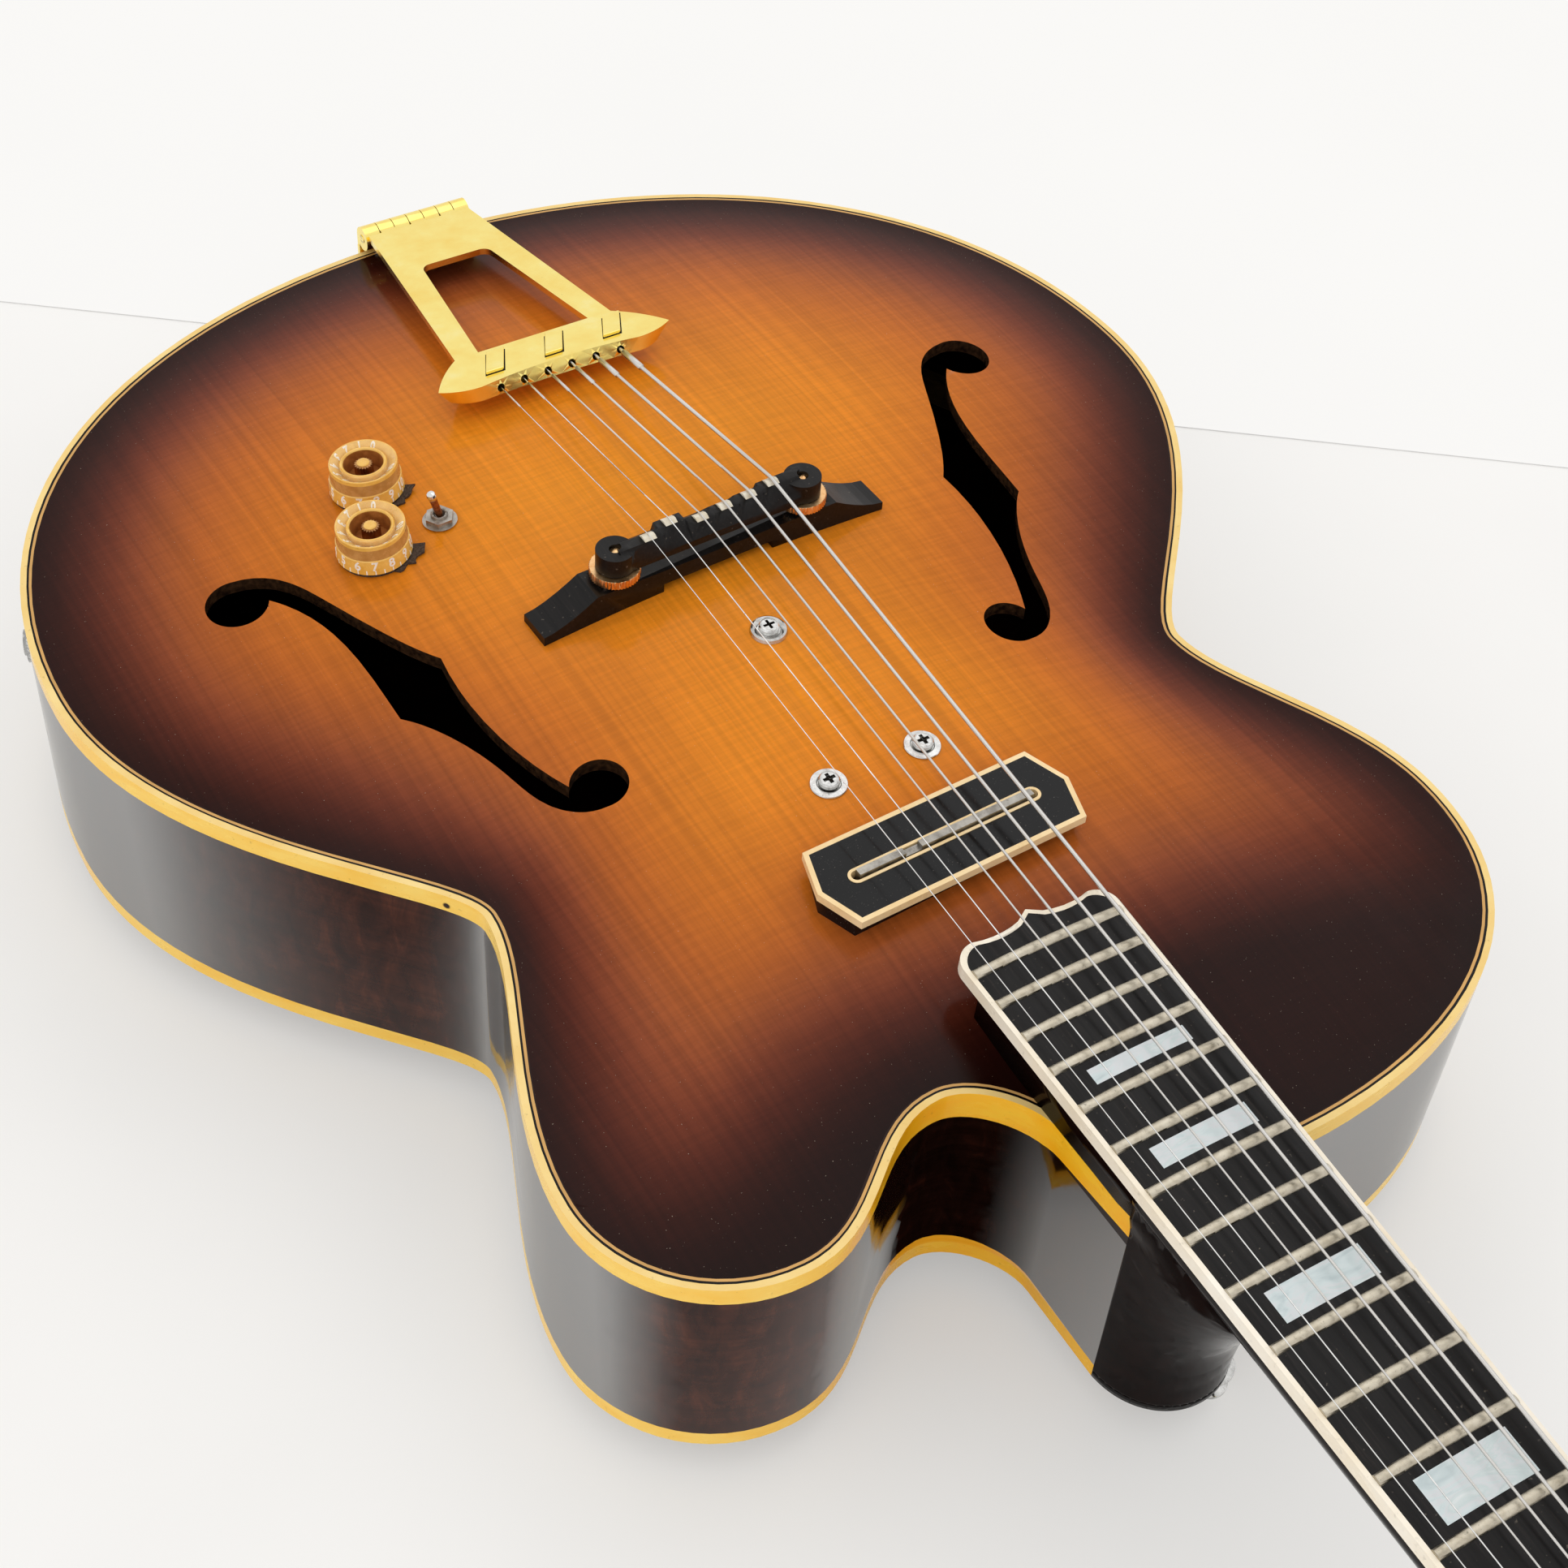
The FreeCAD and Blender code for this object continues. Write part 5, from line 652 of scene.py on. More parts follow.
# The body's edge in millimetres, from the cheek of the cutaway round by the tail to the bass
# shoulder: the start of each curve and its two handles
OUTLINE = [
    (23.9, -37.5), (23.9, -50.1), (36.9, -65.4),
    (48.5, -65.4), (72.4, -65.4), (83.3, -34.2),
    (112.4, -34.2), (141.8, -34.2), (162.8, -58.4),
    (162.8, -84.7), (162.8, -124.7), (133.6, -164.7),
    (133.6, -189.7), (133.6, -209.8), (216.0, -260.5),
    (216.0, -338.8), (216.0, -444.4), (125.7, -520.0),
    (0.0, -520.0), (-125.7, -520.0), (-216.0, -444.4),
    (-216.0, -338.8), (-216.0, -260.5), (-133.6, -209.8),
    (-133.6, -189.7), (-133.6, -164.7), (-165.2, -133.2),
    (-165.2, -95.2), (-165.2, -32.2), (-105.6, -3.8),
    (-40.6, -3.8), (-20.0, -3.8), (0.0, -3.8),
    (23.9, -3.8), (23.9, -15.0), (23.9, -26.0),
]
HANDLES = 3
STEPS = 40
FINE_STEPS = 240
EDGE_TRIM = 4.2
TOP_ARCH = 16.0
RECURVE = 0.10
DEEPEST_AT = (0.0, -338.8)
PLATE = 5.0 * MM
SKIN_DEPTH = 0.7 * MM
CELL = 4.0
GRID_MARGIN = 10 * MM
CUTTER_REACH = 50 * MM


def edge_points(steps):
    """Points round the body's edge, in millimetres from the joint fret."""
    shares = np.linspace(0, 1, steps, endpoint=False)[:, None]
    rest = 1 - shares
    rows = []
    for start in range(0, len(OUTLINE), HANDLES):
        first, second, third, last = (OUTLINE + OUTLINE[:1])[start:start + HANDLES + 1]
        rows.append(rest**3 * first + 3 * rest**2 * shares * np.array(second)
                    + 3 * rest * shares**2 * np.array(third) + shares**3 * np.array(last))
    return np.vstack(rows)


def edge_run(edge):
    """The way along the body's edge at each of its points."""
    return np.roll(edge, -1, axis=0) - np.roll(edge, 1, axis=0)


EDGE = edge_points(STEPS)
ALONG = edge_run(EDGE)
SPAN = np.linalg.norm(ALONG, axis=1) / 2
INWARD = np.stack([ALONG[:, 1], -ALONG[:, 0]], axis=1) / (2 * SPAN[:, None])
RIM = EDGE + INWARD * EDGE_TRIM


def rim_gaps(spots, rim):
    """How far each spot lies from each point of the rim, in millimetres."""
    return np.linalg.norm(spots[:, None, :] - rim[None, :, :], axis=2)


def inside(spots, rim):
    """Whether each spot lies within the rim."""
    count = np.zeros(len(spots), dtype=int)
    before = np.roll(rim, 1, axis=0)
    for (x1, y1), (x2, y2) in zip(before, rim):
        crosses = (y1 > spots[:, 1]) != (y2 > spots[:, 1])
        if abs(y2 - y1) > 1e-9:
            count += crosses & (spots[:, 0] < x1 + (spots[:, 1] - y1) / (y2 - y1) * (x2 - x1))
    return count % 2 == 1


def soft_depth(spots):
    """A smooth distance in from the rim."""
    gaps = np.maximum(rim_gaps(spots, RIM), 0.5)
    return (SPAN / gaps**3).sum(axis=1) ** -0.5


DEEPEST = soft_depth(np.array([DEEPEST_AT]))[0]


def arch(spots):
    """Height of the arched top over its rim at each spot, in millimetres."""
    share = np.where(inside(spots, RIM), soft_depth(spots) / DEEPEST, 0.0)
    return TOP_ARCH * share**2 * (1 + RECURVE) / (share + RECURVE)


def rise(values, start, length):
    """From 0 at a start up to 1 over a length."""
    return np.clip((values - start) / length, 0, 1)


def fall(values, end, length):
    """From 1 down to 0 at an end, over a length."""
    return np.clip((end - values) / length, 0, 1)


def body_spots(points):
    """Row places in metres as plan places in millimetres from the joint fret."""
    return np.stack([points[:, 0] / MM, (points[:, 1] - JOINT_FRET) / MM], axis=1)


WAIST_AT, WAIST_REACH, WAIST_NARROWS = -185, 50, 0.45
UPPER_AT, UPPER_DEPTH, UPPER_HALF = -106, 44, 150
UPPER_SLOPE, UPPER_BULGE = 0.56, 0.45
BURST_BLEND = 11.0
BURST_LEAST = 4.0


def burst_depth(spots):
    """How far into the sunburst a spot lies: thin at the waist, wide over the upper bout."""
    depth = rim_gaps(spots, EDGE).min(axis=1)
    waist = np.exp(-(((spots[:, 1] - WAIST_AT) / WAIST_REACH) ** 2))
    depth = depth * (1 + WAIST_NARROWS * waist)
    across = np.clip(1 - (spots[:, 0] / UPPER_HALF) ** 2, 0, 1)
    upper = UPPER_DEPTH + (UPPER_SLOPE + UPPER_BULGE * across) * (UPPER_AT - spots[:, 1])
    both = -BURST_BLEND * np.logaddexp(-depth / BURST_BLEND,
                                       -np.maximum(upper, BURST_LEAST) / BURST_BLEND)
    return np.clip(both + BURST_LEAST, 0, BURST_REACH) / BURST_REACH


def arched_top():
    """The carved top: a fine dome cut to the outline and the sound holes of the solid."""
    low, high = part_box("top_plate")
    wide, long = (high.x - low.x) + GRID_MARGIN, (high.y - low.y) + GRID_MARGIN
    only()
    bpy.ops.mesh.primitive_grid_add(size=1, x_subdivisions=int(wide / CELL / MM),
                                    y_subdivisions=int(long / CELL / MM))
    top = named("arched_top")
    middle = (low + high) / 2
    points = places(top) * (wide, long, 1) + (middle.x, middle.y, 0)
    points[:, 2] = RIM_TOP + arch(body_spots(points)) * MM
    move_points(top, points)
    shape_by(top, "SOLIDIFY", thickness=PLATE, offset=-1)
    cutter = skin_of("top_plate", "top_cutter")
    points = places(cutter)
    on_top = points[:, 2] > RIM_TOP - SKIN_DEPTH + arch(body_spots(points)) * MM
    points[:, 2] += np.where(on_top, CUTTER_REACH, -CUTTER_REACH)
    move_points(cutter, points)
    shape_by(top, "BOOLEAN", operation="INTERSECT", object=cutter)
    bpy.data.objects.remove(cutter)
    paint(top, "burst", burst_depth(body_spots(places(top))))
    settle(top, SUNBURST, "top_wood", "guitar", "top_plate", angle=40)


arched_top()

CHEEK = 23.9
HOLLOW = (44.0, -63.0)
HOLLOW_REACH = 30.0
BACK_EDGE = 22.0
BACK_FLARE = 4.4
TOP_EDGE = 86.0
FACING_FROM, FACING_FADE = 0.42, 0.3
HORN_FROM, HORN_FADE = 88, 16
HOLLOW_DULL, HORN_DULL = 1.3, 0.92
FLARE_FROM, FLARE_UNDER = 0.08, 0.2
CHEEK_COVER = 5.5
CHEEK_END, CHEEK_FOOT = 48, -66
COVER_FROM, COVER_FADE = -60, 55
CUTAWAY_FROM, CUTAWAY_FOOT = 18, -74
AMBER_END, AMBER_FADE = 124, 30
LINED = 0.9
SHADE_STEPS = 120
SHADE_EDGE = edge_points(SHADE_STEPS)
SHADE_ALONG = edge_run(SHADE_EDGE)
SHADE_OUT = np.stack([-SHADE_ALONG[:, 1], SHADE_ALONG[:, 0]], axis=1)
SHADE_OUT /= np.linalg.norm(SHADE_OUT, axis=1)[:, None]


def edge_facing(spots):
    """The way the body's edge faces, outwards, beside each spot."""
    return SHADE_OUT[rim_gaps(spots, SHADE_EDGE).argmin(axis=1)]


def hollow_share(spots):
    """How deep in the hollow of the cutaway a spot lies, 0 to 1."""
    gap = np.linalg.norm(spots - np.array(HOLLOW), axis=1)
    return np.exp(-((gap / HOLLOW_REACH) ** 2))


def true_sides(piece):
    """Shade the upright faces by the true curve of the body's edge."""
    mesh = piece.data
    normals = numbers(mesh.corner_normals, "vector")
    corners = numbers(mesh.loops, "vertex_index", int)
    sides = numbers(mesh.polygons, "loop_total", int)
    own = np.repeat(numbers(mesh.polygons, "normal"), sides, axis=0)
    out = edge_facing(body_spots(places(piece)))[corners]
    along = (own[:, :2] * out).sum(axis=1)
    lined = np.abs(along) > LINED
    normals[lined, :2] = out[lined] * np.sign(along[lined])[:, None]
    normals[lined, 2] = 0
    mesh.normals_split_custom_set(normals.tolist())


def bent_sides():
    """The sides and the back: dull in the hollow, and lighter and ruddier where the treble side
    faces the neck, which is painted light.

    The sides alone turn amber over the back's edge.
    """
    for node, name in (("rim_sides", "bent_sides"), ("back_plate", "carved_back")):
        wood = skin_of(node, name)
        points = places(wood)
        spots = body_spots(points)
        hollow = hollow_share(spots)
        front = (rise(edge_facing(spots)[:, 1], FACING_FROM, FACING_FADE)
                 * rise(spots[:, 0], HORN_FROM, HORN_FADE))
        # painted light: lighter and ruddier where the treble side faces the neck
        paint(wood, "ruddy", front)
        paint(wood, "shine", np.clip(1 - hollow * HOLLOW_DULL, 0, 1) * (1 - HORN_DULL * front))
        if node == "rim_sides":
            flare = BACK_EDGE + BACK_FLARE * np.clip(hollow - FLARE_FROM, 0, 1) - FLARE_UNDER
            paint(wood, "flare", flare - points[:, 2] / MM)
        settle(wood, SIDES, "rim_wood", "guitar", node, even=False)
        if node == "rim_sides":
            true_sides(wood)


def edge_bindings():
    """The bindings, amber in the cutaway, the top's lacquered over towards the cheek."""
    for node in ("top_binding", "back_binding"):
        edge = skin_of(node, node + "_dressed")
        points = places(edge)
        spots = body_spots(points)
        at_cheek = ((spots[:, 0] > 0) & (spots[:, 0] < CHEEK_END) & (spots[:, 1] > CHEEK_FOOT)
                    & (node == "top_binding"))
        cover = TOP_EDGE + CHEEK_COVER * rise(spots[:, 1], COVER_FROM, COVER_FADE)
        paint(edge, "covered", np.where(at_cheek, cover - points[:, 2] / MM, -1.0))
        cutaway = (spots[:, 0] > CUTAWAY_FROM) & (spots[:, 1] > CUTAWAY_FOOT)
        paint(edge, "amber", fall(spots[:, 0], AMBER_END, AMBER_FADE) * cutaway)
        settle(edge, BINDING, "binding", "guitar", node, even=False)
        true_sides(edge)


HEEL_ROWS = (19.5, 21, 23, 26, 30, 36, 44, 52, 60, 68, 76, 84, 92, 97)
HEEL_SLICES = (-4, 0, 4, 8, 12, 16, 20)
HEEL_FOOT, HEEL_TALL = 18.5, 84.5
HEEL_HALF, HEEL_SPREAD = 22, 4
HEEL_FACE, HEEL_FADE = -5.6, 25
HEEL_BEHIND = -6
BOARD_UNDER, BOARD_FADE = 103, 8


def flush_heel():
    """The neck and its heel cap, the heel flush with the cheek of the cutaway."""
    for node, name, finish, slot in (("neck", "flush_neck", NECK_WOOD, "neck_wood"),
                                     ("heel_cap", "flush_heel_cap", EBONY, "ebony")):
        wood = skin_of(node, name)
        for height in HEEL_ROWS:
            slice_piece((0, 0, height * MM), (0, 0, 1))
        for reach in HEEL_SLICES:
            slice_piece((0, reach * MM, 0), (0, 1, 0))
        points = places(wood)
        heights, reach = points[:, 2] / MM, points[:, 1] / MM
        half = HEEL_HALF + HEEL_SPREAD * np.clip(heights - HEEL_FOOT, 0, HEEL_TALL) / HEEL_TALL
        near = np.clip(1 - (reach - HEEL_FACE) / HEEL_FADE, 0, 1) * (reach > HEEL_BEHIND)
        near = near * fall(heights, BOARD_UNDER, BOARD_FADE)
        points[:, 0] *= 1 + (CHEEK / half - 1) * near
        move_points(wood, points)
        settle(wood, finish, slot, "guitar", node, angle=60, even=False)


bent_sides()
edge_bindings()
flush_heel()

purfling = skin_of("top_purfling", "top_purfling_lines")
INSET_START = 2.2
INSET_WIDTH = 2.0
gaps = rim_gaps(body_spots(places(purfling)), edge_points(FINE_STEPS)).min(axis=1)
paint(purfling, "inset", (gaps - INSET_START) / INSET_WIDTH)
settle(purfling, LINES, "purfling", "guitar", "top_purfling")

for finish, slot, nodes in (
        (BARE_WOOD, "inner_wood", ("end_blocks", "linings_and_bars")),
        (EBONY, "ebony", ("fingerboard",)),
        (PEARL, "pearl", ("fingerboard_inlays",)),
        (STEEL, "steel", ("truss_rod", "pickup_blade")),
        (BLACK, "black_plastic", ("headstock_veneer", "truss_rod_cover", "pickup_plate")),
        (BOARD_EDGE, "binding", ("neck_bindings",)),
        (CREAM, "binding", ("pickup_trim",)),
        (BONE, "white", ("saddle_inserts", "nut")),
        (ROSE_GOLD, "gold", ("bridge_posts", "thumbwheel_bass", "thumbwheel_treble")),
        (GOLD, "gold", ("tuner_bushings", "tuner_housings", "tail_bracket", "tailpiece_frame",
                        "cover_and_bracket_screws", "tailpiece_hinge_pin")),
        (DARK_METAL, "dark_metal", ("pickup_magnets", "control_pots")),
        (NICKEL, "nickel", ("output_jack",))):
    for node in nodes:
        dress(node, finish, slot)
for node in ("bridge_base", "bridge_saddle"):
    dress(node, EBONY, "ebony", even=False)
for number in range(1, 7):
    dress("tuner_post_%d" % number, GOLD, "gold")
    dress("tuner_button_%d" % number, GOLD, "gold")

STRINGS_AT = 0.118
NUT_LINE = (0.0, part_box("nut")[0].y, STRINGS_AT)
SADDLE_LINE = (0.0, -0.2870, STRINGS_AT)
SLACK_LINE = (0.0, -0.3050, STRINGS_AT)
CROSSBAR_LINE = (0.0, -0.3900, STRINGS_AT)


def string_length(node, finish, part, bodies, start, end, cuts):
    """One length of the strings, cut at the given lines; what holds its ends is not used."""
    strings = skin_of(node, node + part)
    for line, keep_front in cuts:
        slice_piece(line, (0, 1, 0), use_fill=True,
                    clear_inner=keep_front, clear_outer=not keep_front)
    strings.data.materials.clear()
    strings.data.materials.append(finish)
    bpy.ops.object.shade_smooth_by_angle(angle=math.radians(40))
    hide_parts(node)
    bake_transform(strings)


for node, finish in (("plain_strings", PLAIN_STEEL), ("wound_strings", WOUND)):
    for length in (
            ("_speaking", ("guitar", "saddle"), NUT_LINE, SADDLE_LINE, [(SADDLE_LINE, True)]),
            ("_behind", ("saddle", "guitar"), SADDLE_LINE, SLACK_LINE,
             [(SADDLE_LINE, False), (SLACK_LINE, True)]),
            ("_tail", ("guitar", "tailpiece"), SLACK_LINE, CROSSBAR_LINE, [(SLACK_LINE, False)])):
        string_length(node, finish, *length)

KNOB_FOOT = 1.2
KNOB_CROWN = 13.1
SKIRT_TOP = 7.2
SKIRT_RADIUS = 13.2
SKIRT_LEAN = 0.09
SHAFT_RIBS = 18
RIBS_FROM, RIBS_TO = 4.9 * MM, 12.32 * MM
RIB_GROOVE = 0.8
FIGURE_STEP = 27.0
DISH_FOOT = (8.35, 10.3)
DISH_SLOPE = 0.873
SKIRT_LIFT, DISH_LIFT = 0.03, 0.05
KNOB_SIDES = 64


def skirt_radius(height):
    """The skirt's radius at a height, in millimetres."""
    return SKIRT_RADIUS - SKIRT_LEAN * (height - KNOB_FOOT)


def bend_round(piece, radii, turns, heights):
    """Bend a piece round an upright axis, in millimetres."""
    bent = [radii * np.cos(turns), radii * np.sin(turns), heights]
    move_points(piece, np.stack(bent, axis=1) * MM)


def wrap_on_skirt(piece, turn, foot):
    """Lay a flat figure on the skirt, its middle at a turn, its foot at a height in millimetres."""
    points = places(piece)
    heights = foot + points[:, 1] / MM
    radii = skirt_radius(heights) + SKIRT_LIFT + points[:, 2] / MM
    turns = math.radians(turn) + points[:, 0] / MM / SKIRT_RADIUS
    bend_round(piece, radii, turns, heights)
    return piece


def lay_in_dish(piece, turn, foot):
    """Lay a flat figure in the dish under the clear crown, its foot at a radius in millimetres."""
    points = places(piece)
    radii = foot - points[:, 1] / MM
    heights = DISH_FOOT[1] + (radii - DISH_FOOT[0]) * DISH_SLOPE + DISH_LIFT + points[:, 2] / MM
    turns = math.radians(turn) + points[:, 0] / MM / foot
    bend_round(piece, radii, turns, heights)
    return piece


def figure(text, tall):
    """A flat figure, as a thin mesh, its height in millimetres."""
    only()
    bpy.ops.object.text_add()
    letters = bpy.context.object
    letters.data.body = text
    letters.data.align_x = "CENTER"
    letters.data.size = tall * 1.4 * MM
    letters.data.extrude = 0.03 * MM
    letters.data.offset = 0.13 * MM
    letters.data.resolution_u = 3
    bpy.ops.object.convert(target="MESH")
    fix_place()
    return bpy.context.object


def control_knob(name, seven_at):
    """A knob: numbered skirt, clear crown over gold paint, ribbed shaft in a brown well."""
    skirt = ring(name + "_knob_core", [
        (12.9, KNOB_FOOT), (SKIRT_RADIUS, 1.6), (skirt_radius(SKIRT_TOP - 0.3), SKIRT_TOP - 0.3),
        (12.4, SKIRT_TOP), (11.0, SKIRT_TOP), (7.3, 5.0), (7.3, KNOB_FOOT)], sides=KNOB_SIDES)
    rim = ring("rim", [
        (12.1, 11.5), (12.0, 12.9), (11.8, KNOB_CROWN), (11.5, 13.05), DISH_FOOT, (8.35, 9.4),
        (11.0, 11.4)], sides=KNOB_SIDES)
    lip = ring("lip", [
        (8.35, 9.4), (8.35, 12.3), (8.0, 12.8), (7.4, 12.8), (7.05, 12.4), (7.05, 9.4)],
        sides=KNOB_SIDES)
    band = ring(name + "_knob_band", [
        (12.35, SKIRT_TOP - 0.05), (12.1, 11.55), (10.9, 11.45), (10.9, SKIRT_TOP - 0.05)],
        sides=KNOB_SIDES)
    well = ring(name + "_knob_well", [
        (7.05, 12.2), (6.7, 5.8), (2.6, 5.6), (2.6, 5.0), (7.3, 5.0), (7.3, 12.2)])
    shaft = turned(name + "_shaft", [
        (3.0, -12.0), (3.0, 5.0), (3.3, 5.0), (3.3, 12.0), (2.9, 12.3), (2.2, 12.35)],
        sides=2 * SHAFT_RIBS)
    points = places(shaft)
    turns = np.round(np.arctan2(points[:, 1], points[:, 0]) / math.pi * SHAFT_RIBS).astype(int)
    ribbed = (turns % 2 == 1) & (points[:, 2] > RIBS_FROM) & (points[:, 2] < RIBS_TO)
    points[ribbed, :2] *= RIB_GROOVE
    move_points(shaft, points)
    dome = turned(name + "_shaft_crown", [
        (2.3, 12.2), (2.25, 12.6), (1.9, 12.95), (1.2, 13.15), (0.5, 13.2)], sides=24)
    crown = ring(name + "_knob_crown", [(11.4, 13.02), (8.45, 13.02), (8.45, 10.6)],
                 sides=KNOB_SIDES)
    marks = []
    for number in range(11):
        turn = seven_at + (number - 7) * FIGURE_STEP
        marks.append(wrap_on_skirt(figure(str(number), 3.4), turn, 3.4))
        marks.append(lay_in_dish(figure(str(number), 2.6), turn, 11.2))
    for half in range(21):
        turn = seven_at + (half / 2 - 7) * FIGURE_STEP
        tick = block("tick", (-0.2, 0.0, 0.0), (0.2, 1.7, 0.05))
        marks.append(wrap_on_skirt(tick, turn, 1.6))
    figures = join(*marks)
    figures.name = name + "_knob_figures"
    for piece, finish, slot, angle in (
            (join(skirt, rim, lip), GOLD_PAINT, "amber_plastic", 25),
            (band, BAND_PAINT, "amber_plastic", 30), (well, WELL_BROWN, "amber_plastic", 30),
            (shaft, RIB_BRASS, "gold", 20), (dome, GOLD_PAINT, "gold", 30),
            (crown, CLEAR_AMBER, "amber_plastic", 30), (figures, FIGURES, "white", 30)):
        stand(piece, joint_seat(name + "_turn"))
        settle(piece, finish, slot, name, name + "_knob", angle=angle)


control_knob("volume", 68.0)
control_knob("tone", 55.0)


FELT_RADIUS, FLAP_INSIDE = 12.6, 12
FLAP_START, FLAP_GROWS, FLAP_LIFTS = 13.0, 3.6, 1.6
TEAR_STEP, TEARS = 6, 400
TEAR_LEAST, TEAR_MOST = 1.0, 1.16


def torn_pointer(name, control, first, last, seed):
    """A torn strip of dark felt under a knob, with a ragged tip that lifts."""
    rng = np.random.default_rng(seed)
    felt = ring(name, [(5.0, 0.1), (9.0, 0.1), (FELT_RADIUS, 0.1), (FELT_RADIUS, 0.8), (9.0, 0.8),
                       (5.0, 0.8)], sides=60)
    points = places(felt)
    turns = np.degrees(np.arctan2(points[:, 1], points[:, 0]))
    share = rise(turns, first, last - first)
    outside = np.hypot(points[:, 0], points[:, 1]) > FLAP_INSIDE * MM
    flap = (turns >= first) & (turns <= last) & outside
    steps = np.round(turns / TEAR_STEP).astype(int)
    ragged = rng.uniform(TEAR_LEAST, TEAR_MOST, TEARS)[steps % TEARS]
    reach = np.where(flap, (FLAP_START + FLAP_GROWS * share**1.5) / FELT_RADIUS * ragged, 1.0)
    points[:, :2] *= reach[:, None]
    points[:, 2] += np.where(flap, FLAP_LIFTS * share**4 * ragged, 0.0) * MM
    move_points(felt, points)
    return stand(felt, joint_seat(control))


pointers = join(torn_pointer("torn_pointers", "volume_turn", 100.0, 160.0, 3),
                torn_pointer("tone_pointer", "tone_turn", 96.0, 152.0, 8))
settle(pointers, FELT, "dark_metal", "guitar", "knob_pointers", angle=20)


def top_seat(across, along):
    """A place on the arched top, in millimetres from the joint fret, and the way it faces."""
    step = 2.0
    spots = np.array([(across, along), (across + step, along), (across - step, along),
                      (across, along + step), (across, along - step)])
    level, east, west, north, south = arch(spots)
    slope = Vector(((west - east) / (2 * step), (south - north) / (2 * step), 1)).normalized()
    return (across * MM, along * MM + JOINT_FRET, RIM_TOP + level * MM), slope


def pickup_screw(name, seat, washer_section, chewed):
    """A cross-headed screw, its cross worn round where it is chewed, and its washer."""
    head = turned(name, [(1.9, -18.0), (1.9, 0.6), (3.5, 0.9), (3.6, 1.6), (3.5, 2.5), (3.1, 3.0),
                         (2.4, 3.25)], sides=32)
    arm = 0.5 + 0.12 * chewed
    carve(head, block("arm", (-2.1, -arm, 1.7), (2.1, arm, 4.0)),
          block("arm", (-arm, -2.1, 1.7), (arm, 2.1, 4.0)))
    if chewed:
        tool = turned("chewed", [(0.7, 1.7), (1.35, 4.0)], sides=8)
        carve(head, tool)
    ease(head, 0.08, segments=1)
    washer = ring(name + "_washer", washer_section)
    # painted shade: a dark disc on the floor of the cross, standing in for the shade in the recess
    floor = turned(name + "_recess", [(2.2, 1.66), (2.2, 1.74)], sides=12)
    return stand(head, seat), stand(washer, seat), stand(floor, seat)


DISHED = [(2.0, 0.8), (3.9, 0.8), (4.6, 1.3), (5.4, 1.6), (6.1, 1.2), (6.5, 0.1), (2.0, 0.0)]
FLAT = [(2.0, 0.35), (3.75, 0.35), (4.1, 0.85), (6.0, 0.75), (6.2, 0.45), (6.2, 0.0), (2.0, 0.0)]
screws = [pickup_screw("bass_screw", top_seat(-17.75, -178.0), FLAT, 1),
          pickup_screw("treble_screw", top_seat(17.75, -178.0), FLAT, 1),
          pickup_screw("far_screw", top_seat(0.0, -245.0), DISHED, 0)]
for parts, (finish, slot, name) in zip(zip(*screws), (
        (NICKEL, "nickel", "heads"), (NICKEL, "nickel", "washers"),
        (PAINTED_SHADE, "dark_metal", "recess_shades"))):
    piece = settle(join(*parts), finish, slot, "guitar", "pickup_screws")
    piece.name = "pickup_screw_" + name

SWITCH_AT = (71.6, -346.6)
NUT_SPREAD = 1.13
NUT_FOOT, NUT_INSIDE = 0.05 * MM, 3.3 * MM
BUSHING_CUT, BUSHING_TOP = 3.2 * MM, 3.6 * MM
HEEL_BUTTON = np.array((-11.5, 9.46, 15.9)) * MM
BUTTON_TRIM = 0.92
NEAR_HEEL = -0.1


def low_switch():
    """The switch, its nut and washer spread a little, its bushing cut low."""
    switch = skin_of("switch_body", "low_switch")
    place, axis = top_seat(*SWITCH_AT)
    rises = places(switch) - np.array(place)
    up = rises @ np.array(axis)
    flat = rises - np.outer(up, axis)
    on_nut = (up > NUT_FOOT) & (np.linalg.norm(flat, axis=1) > NUT_INSIDE)
    spread = np.where(on_nut, NUT_SPREAD, 1.0)
    up = np.where(up > BUSHING_CUT, BUSHING_TOP, up)
    move_points(switch, np.array(place) + flat * spread[:, None] + np.outer(up, axis))
    settle(switch, SWITCH_METAL, "steel", "guitar", "switch_body")


def strap_buttons():
    """The end pin and the smaller button under the heel."""
    buttons = skin_of("strap_buttons", "strap_buttons_dressed")
    points = places(buttons)
    at_heel = points[:, 1] > NEAR_HEEL
    points[at_heel] = HEEL_BUTTON + (points[at_heel] - HEEL_BUTTON) * BUTTON_TRIM
    move_points(buttons, points)
    settle(buttons, NICKEL, "nickel", "guitar", "strap_buttons")


low_switch()
strap_buttons()

lever = skin_of("switch_lever", "polished_lever")
lever_seat = Vector(joint_seat("switch_throw")[0])
reaches = np.linalg.norm(places(lever) - np.array(lever_seat), axis=1)
paint(lever, "tip", reaches / reaches.max())
settle(lever, LEVER, "steel", "lever", "switch_lever")

COIL_NARROW = 0.84
FRET_WIDEN = 1.35
FRET_GAP = 5 * MM


def drawn(values, share):
    """Values drawn out or in about the middle of their range."""
    middle = (values.min() + values.max()) / 2
    return middle + (values - middle) * share


coil = skin_of("pickup_coil", "pickup_foot")
foot_points = places(coil)
foot_points[:, 1] = drawn(foot_points[:, 1], COIL_NARROW)
move_points(coil, foot_points)
settle(coil, BLACK, "black_plastic", "guitar", "pickup_coil")


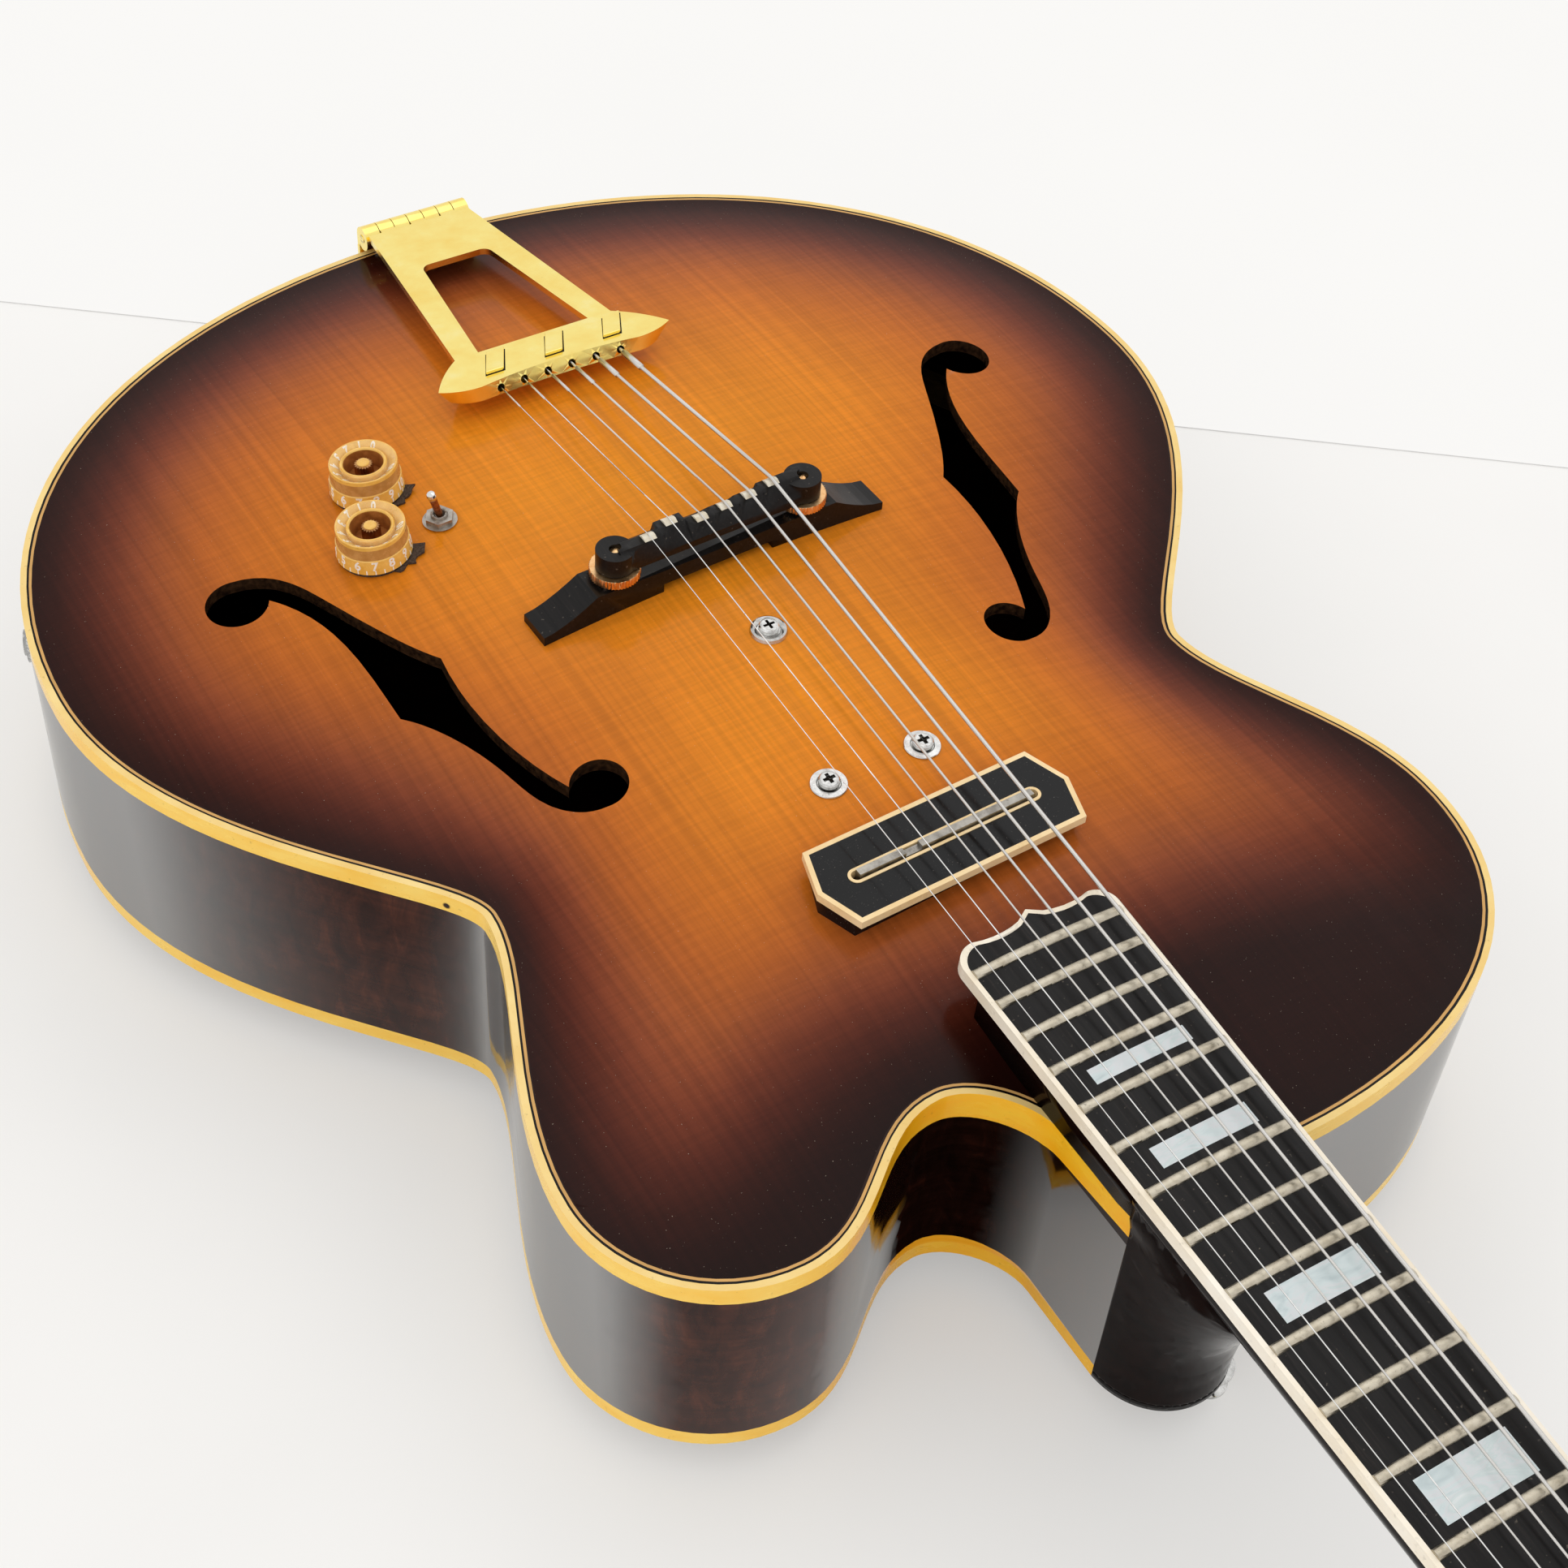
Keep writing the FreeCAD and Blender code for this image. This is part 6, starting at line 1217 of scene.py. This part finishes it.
def louvred_crossbar():
    """The tailpiece's boat-shaped bar, with three lanced louvres and dark strips of painted shade
    in the slits beside them.
    """
    only(skin_of("tailpiece_crossbar", "crossbar"))
    edit_all()
    bpy.ops.mesh.separate(type="LOOSE")
    edit_done()
    bar, *louvres = sorted(bpy.context.selected_objects, key=lambda part: -len(part.data.vertices))
    slits = []
    for louvre in louvres:
        # painted shade: a dark strip along each louvre's sides and front, standing in for the shade
        # in its slit
        slit = put("slit", louvre.data.copy())
        deck = max(louvre.data.polygons, key=lambda face: face.normal.z * face.area).normal
        points = places(slit)
        heights = points @ np.array(deck)
        middle = points.mean(axis=0)
        wide = points[:, 0] - middle[0]
        front = points[:, 1] > middle[1]
        points[:, 0] += np.sign(wide - SLIT_SKEW * (points[:, 1] - middle[1])) * SLIT
        points[:, 1] += np.where(front, SLIT, 0.0)
        top = heights > heights.mean()
        points[top] -= np.outer(heights[top] - heights.min() - SLIT_RISE, deck)
        move_points(slit, points)
        slits.append(slit)
        ease(louvre, 0.45, segments=3)
    for part, finish, slot, angle, name in (
            (bar, GOLD, "gold", 16, "boat_crossbar"),
            (join(*louvres), GOLD, "gold", 30, "crossbar_louvres"),
            (join(*slits), PAINTED_SHADE, "dark_metal", 30, "crossbar_slit_shades")):
        settle(part, finish, slot, "tailpiece", "tailpiece_crossbar", angle=angle).name = name


SLIT = 0.4 * MM
SLIT_RISE = 0.1 * MM
SLIT_SKEW = 0.5
louvred_crossbar()


def worn_frets():
    """Wide, low frets, dressed flat."""
    frets = skin_of("frets", "worn_frets")
    points = places(frets)
    order = np.argsort(points[:, 1])
    starts = np.flatnonzero(np.diff(points[order, 1]) > FRET_GAP) + 1
    for group in np.split(order, starts):
        points[group, 1] = drawn(points[group, 1], FRET_WIDEN)
    move_points(frets, points)
    settle(frets, FRET_METAL, "nickel", "guitar", "frets")


worn_frets()

FLOOR_SIZE, FLOOR_WHITE = 8, 0.38
SHEET_SIZE, SHEET_WHITE = 3, 0.8
SHEET_AT, SHEET_TURN = (-0.7740, -1.8889, 0.0005), -36.9
ROOM_COLOUR, ROOM_LIGHT = (1.0, 0.99, 0.98, 1.0), 0.93
SOFTBOXES = (("key_softbox", (-0.7, -0.9, 2.1), (0.0, -0.3, 0.1), 1.8, 5.0),
             ("fill_softbox", (1.5, 0.4, 1.7), (0.0, -0.2, 0.1), 1.8, 3.0))
SENSOR, LENS = 36.0, 59.464
SHIFT = (0.01906, -0.00751)
CAMERA_AT = (0.35016, 0.27461, 0.71072)
CAMERA_TURN = (43.3044, -2.8147, 149.2288)


def backdrop_paper(name, own_white):
    """Pale paper, partly lit by itself where it is looked at, so that it stays near white."""
    f = Finish(name, gloss=0.1)
    cloud = f.noise(6, detail=4.0)
    f.coat_with(f.tones(cloud, (244, 243, 241), (249, 248, 246)),
                f.wear(cloud, 0.8, 0.9))
    path = f.add("ShaderNodeLightPath").outputs
    looked_at = path["Is Camera Ray"]
    for ray in ("Is Glossy Ray", "Is Transmission Ray"):
        either = f.add("ShaderNodeMath", {"operation": "MAXIMUM"})
        f.feed(either.inputs[0], looked_at)
        f.feed(either.inputs[1], path[ray])
        looked_at = either.outputs[0]
    share = f.span(looked_at, 0.0, 1.0, 0.0, own_white)
    glow = f.add("ShaderNodeEmission", Color=tone(250, 249, 247), Strength=1.0)
    both = f.add("ShaderNodeMixShader", Fac=share)
    f.feed(both.inputs[1], f.shader.outputs[0])
    f.feed(both.inputs[2], glow.outputs[0])
    f.feed(f.tree.nodes["Material Output"].inputs["Surface"], both.outputs[0])
    return f.material


def studio():
    """Floor, a paler sheet beyond, soft light and the photograph's camera."""
    only()
    bpy.ops.mesh.primitive_plane_add(size=FLOOR_SIZE, location=(0, 0, 0))
    floor = named("floor")
    bpy.ops.mesh.primitive_plane_add(size=SHEET_SIZE, location=SHEET_AT,
                                     rotation=(0, 0, math.radians(SHEET_TURN)))
    beyond = named("backdrop")
    beyond.scale = (2, 1, 1)
    fix_place()
    for sheet, own_white in ((floor, FLOOR_WHITE), (beyond, SHEET_WHITE)):
        sheet.data.materials.append(backdrop_paper(sheet.name + "_paper", own_white))

    world = bpy.data.worlds.new("soft_room")
    bpy.context.scene.world = world
    world.use_nodes = True
    room = world.node_tree.nodes["Background"].inputs
    room["Color"].default_value = ROOM_COLOUR
    room["Strength"].default_value = ROOM_LIGHT
    for name, place, aim, width, power in SOFTBOXES:
        lamp = bpy.data.lights.new(name, "AREA")
        lamp.size = width
        lamp.energy = power
        softbox = put(name, lamp)
        softbox.location = place
        reach = [there - here for here, there in zip(place, aim)]
        flat = math.hypot(reach[0], reach[1])
        softbox.rotation_euler = (math.atan2(flat, -reach[2]), 0,
                                  math.atan2(reach[1], reach[0]) - math.pi / 2)

    camera = bpy.data.cameras.new("photo_camera")
    camera.sensor_width = SENSOR
    camera.lens = LENS
    camera.shift_x, camera.shift_y = SHIFT
    tripod = put("photo_camera", camera)
    tripod.location = CAMERA_AT
    tripod.rotation_euler = [math.radians(turn) for turn in CAMERA_TURN]
    bpy.context.scene.camera = tripod
    bpy.context.scene.view_settings.view_transform = "Standard"


studio()
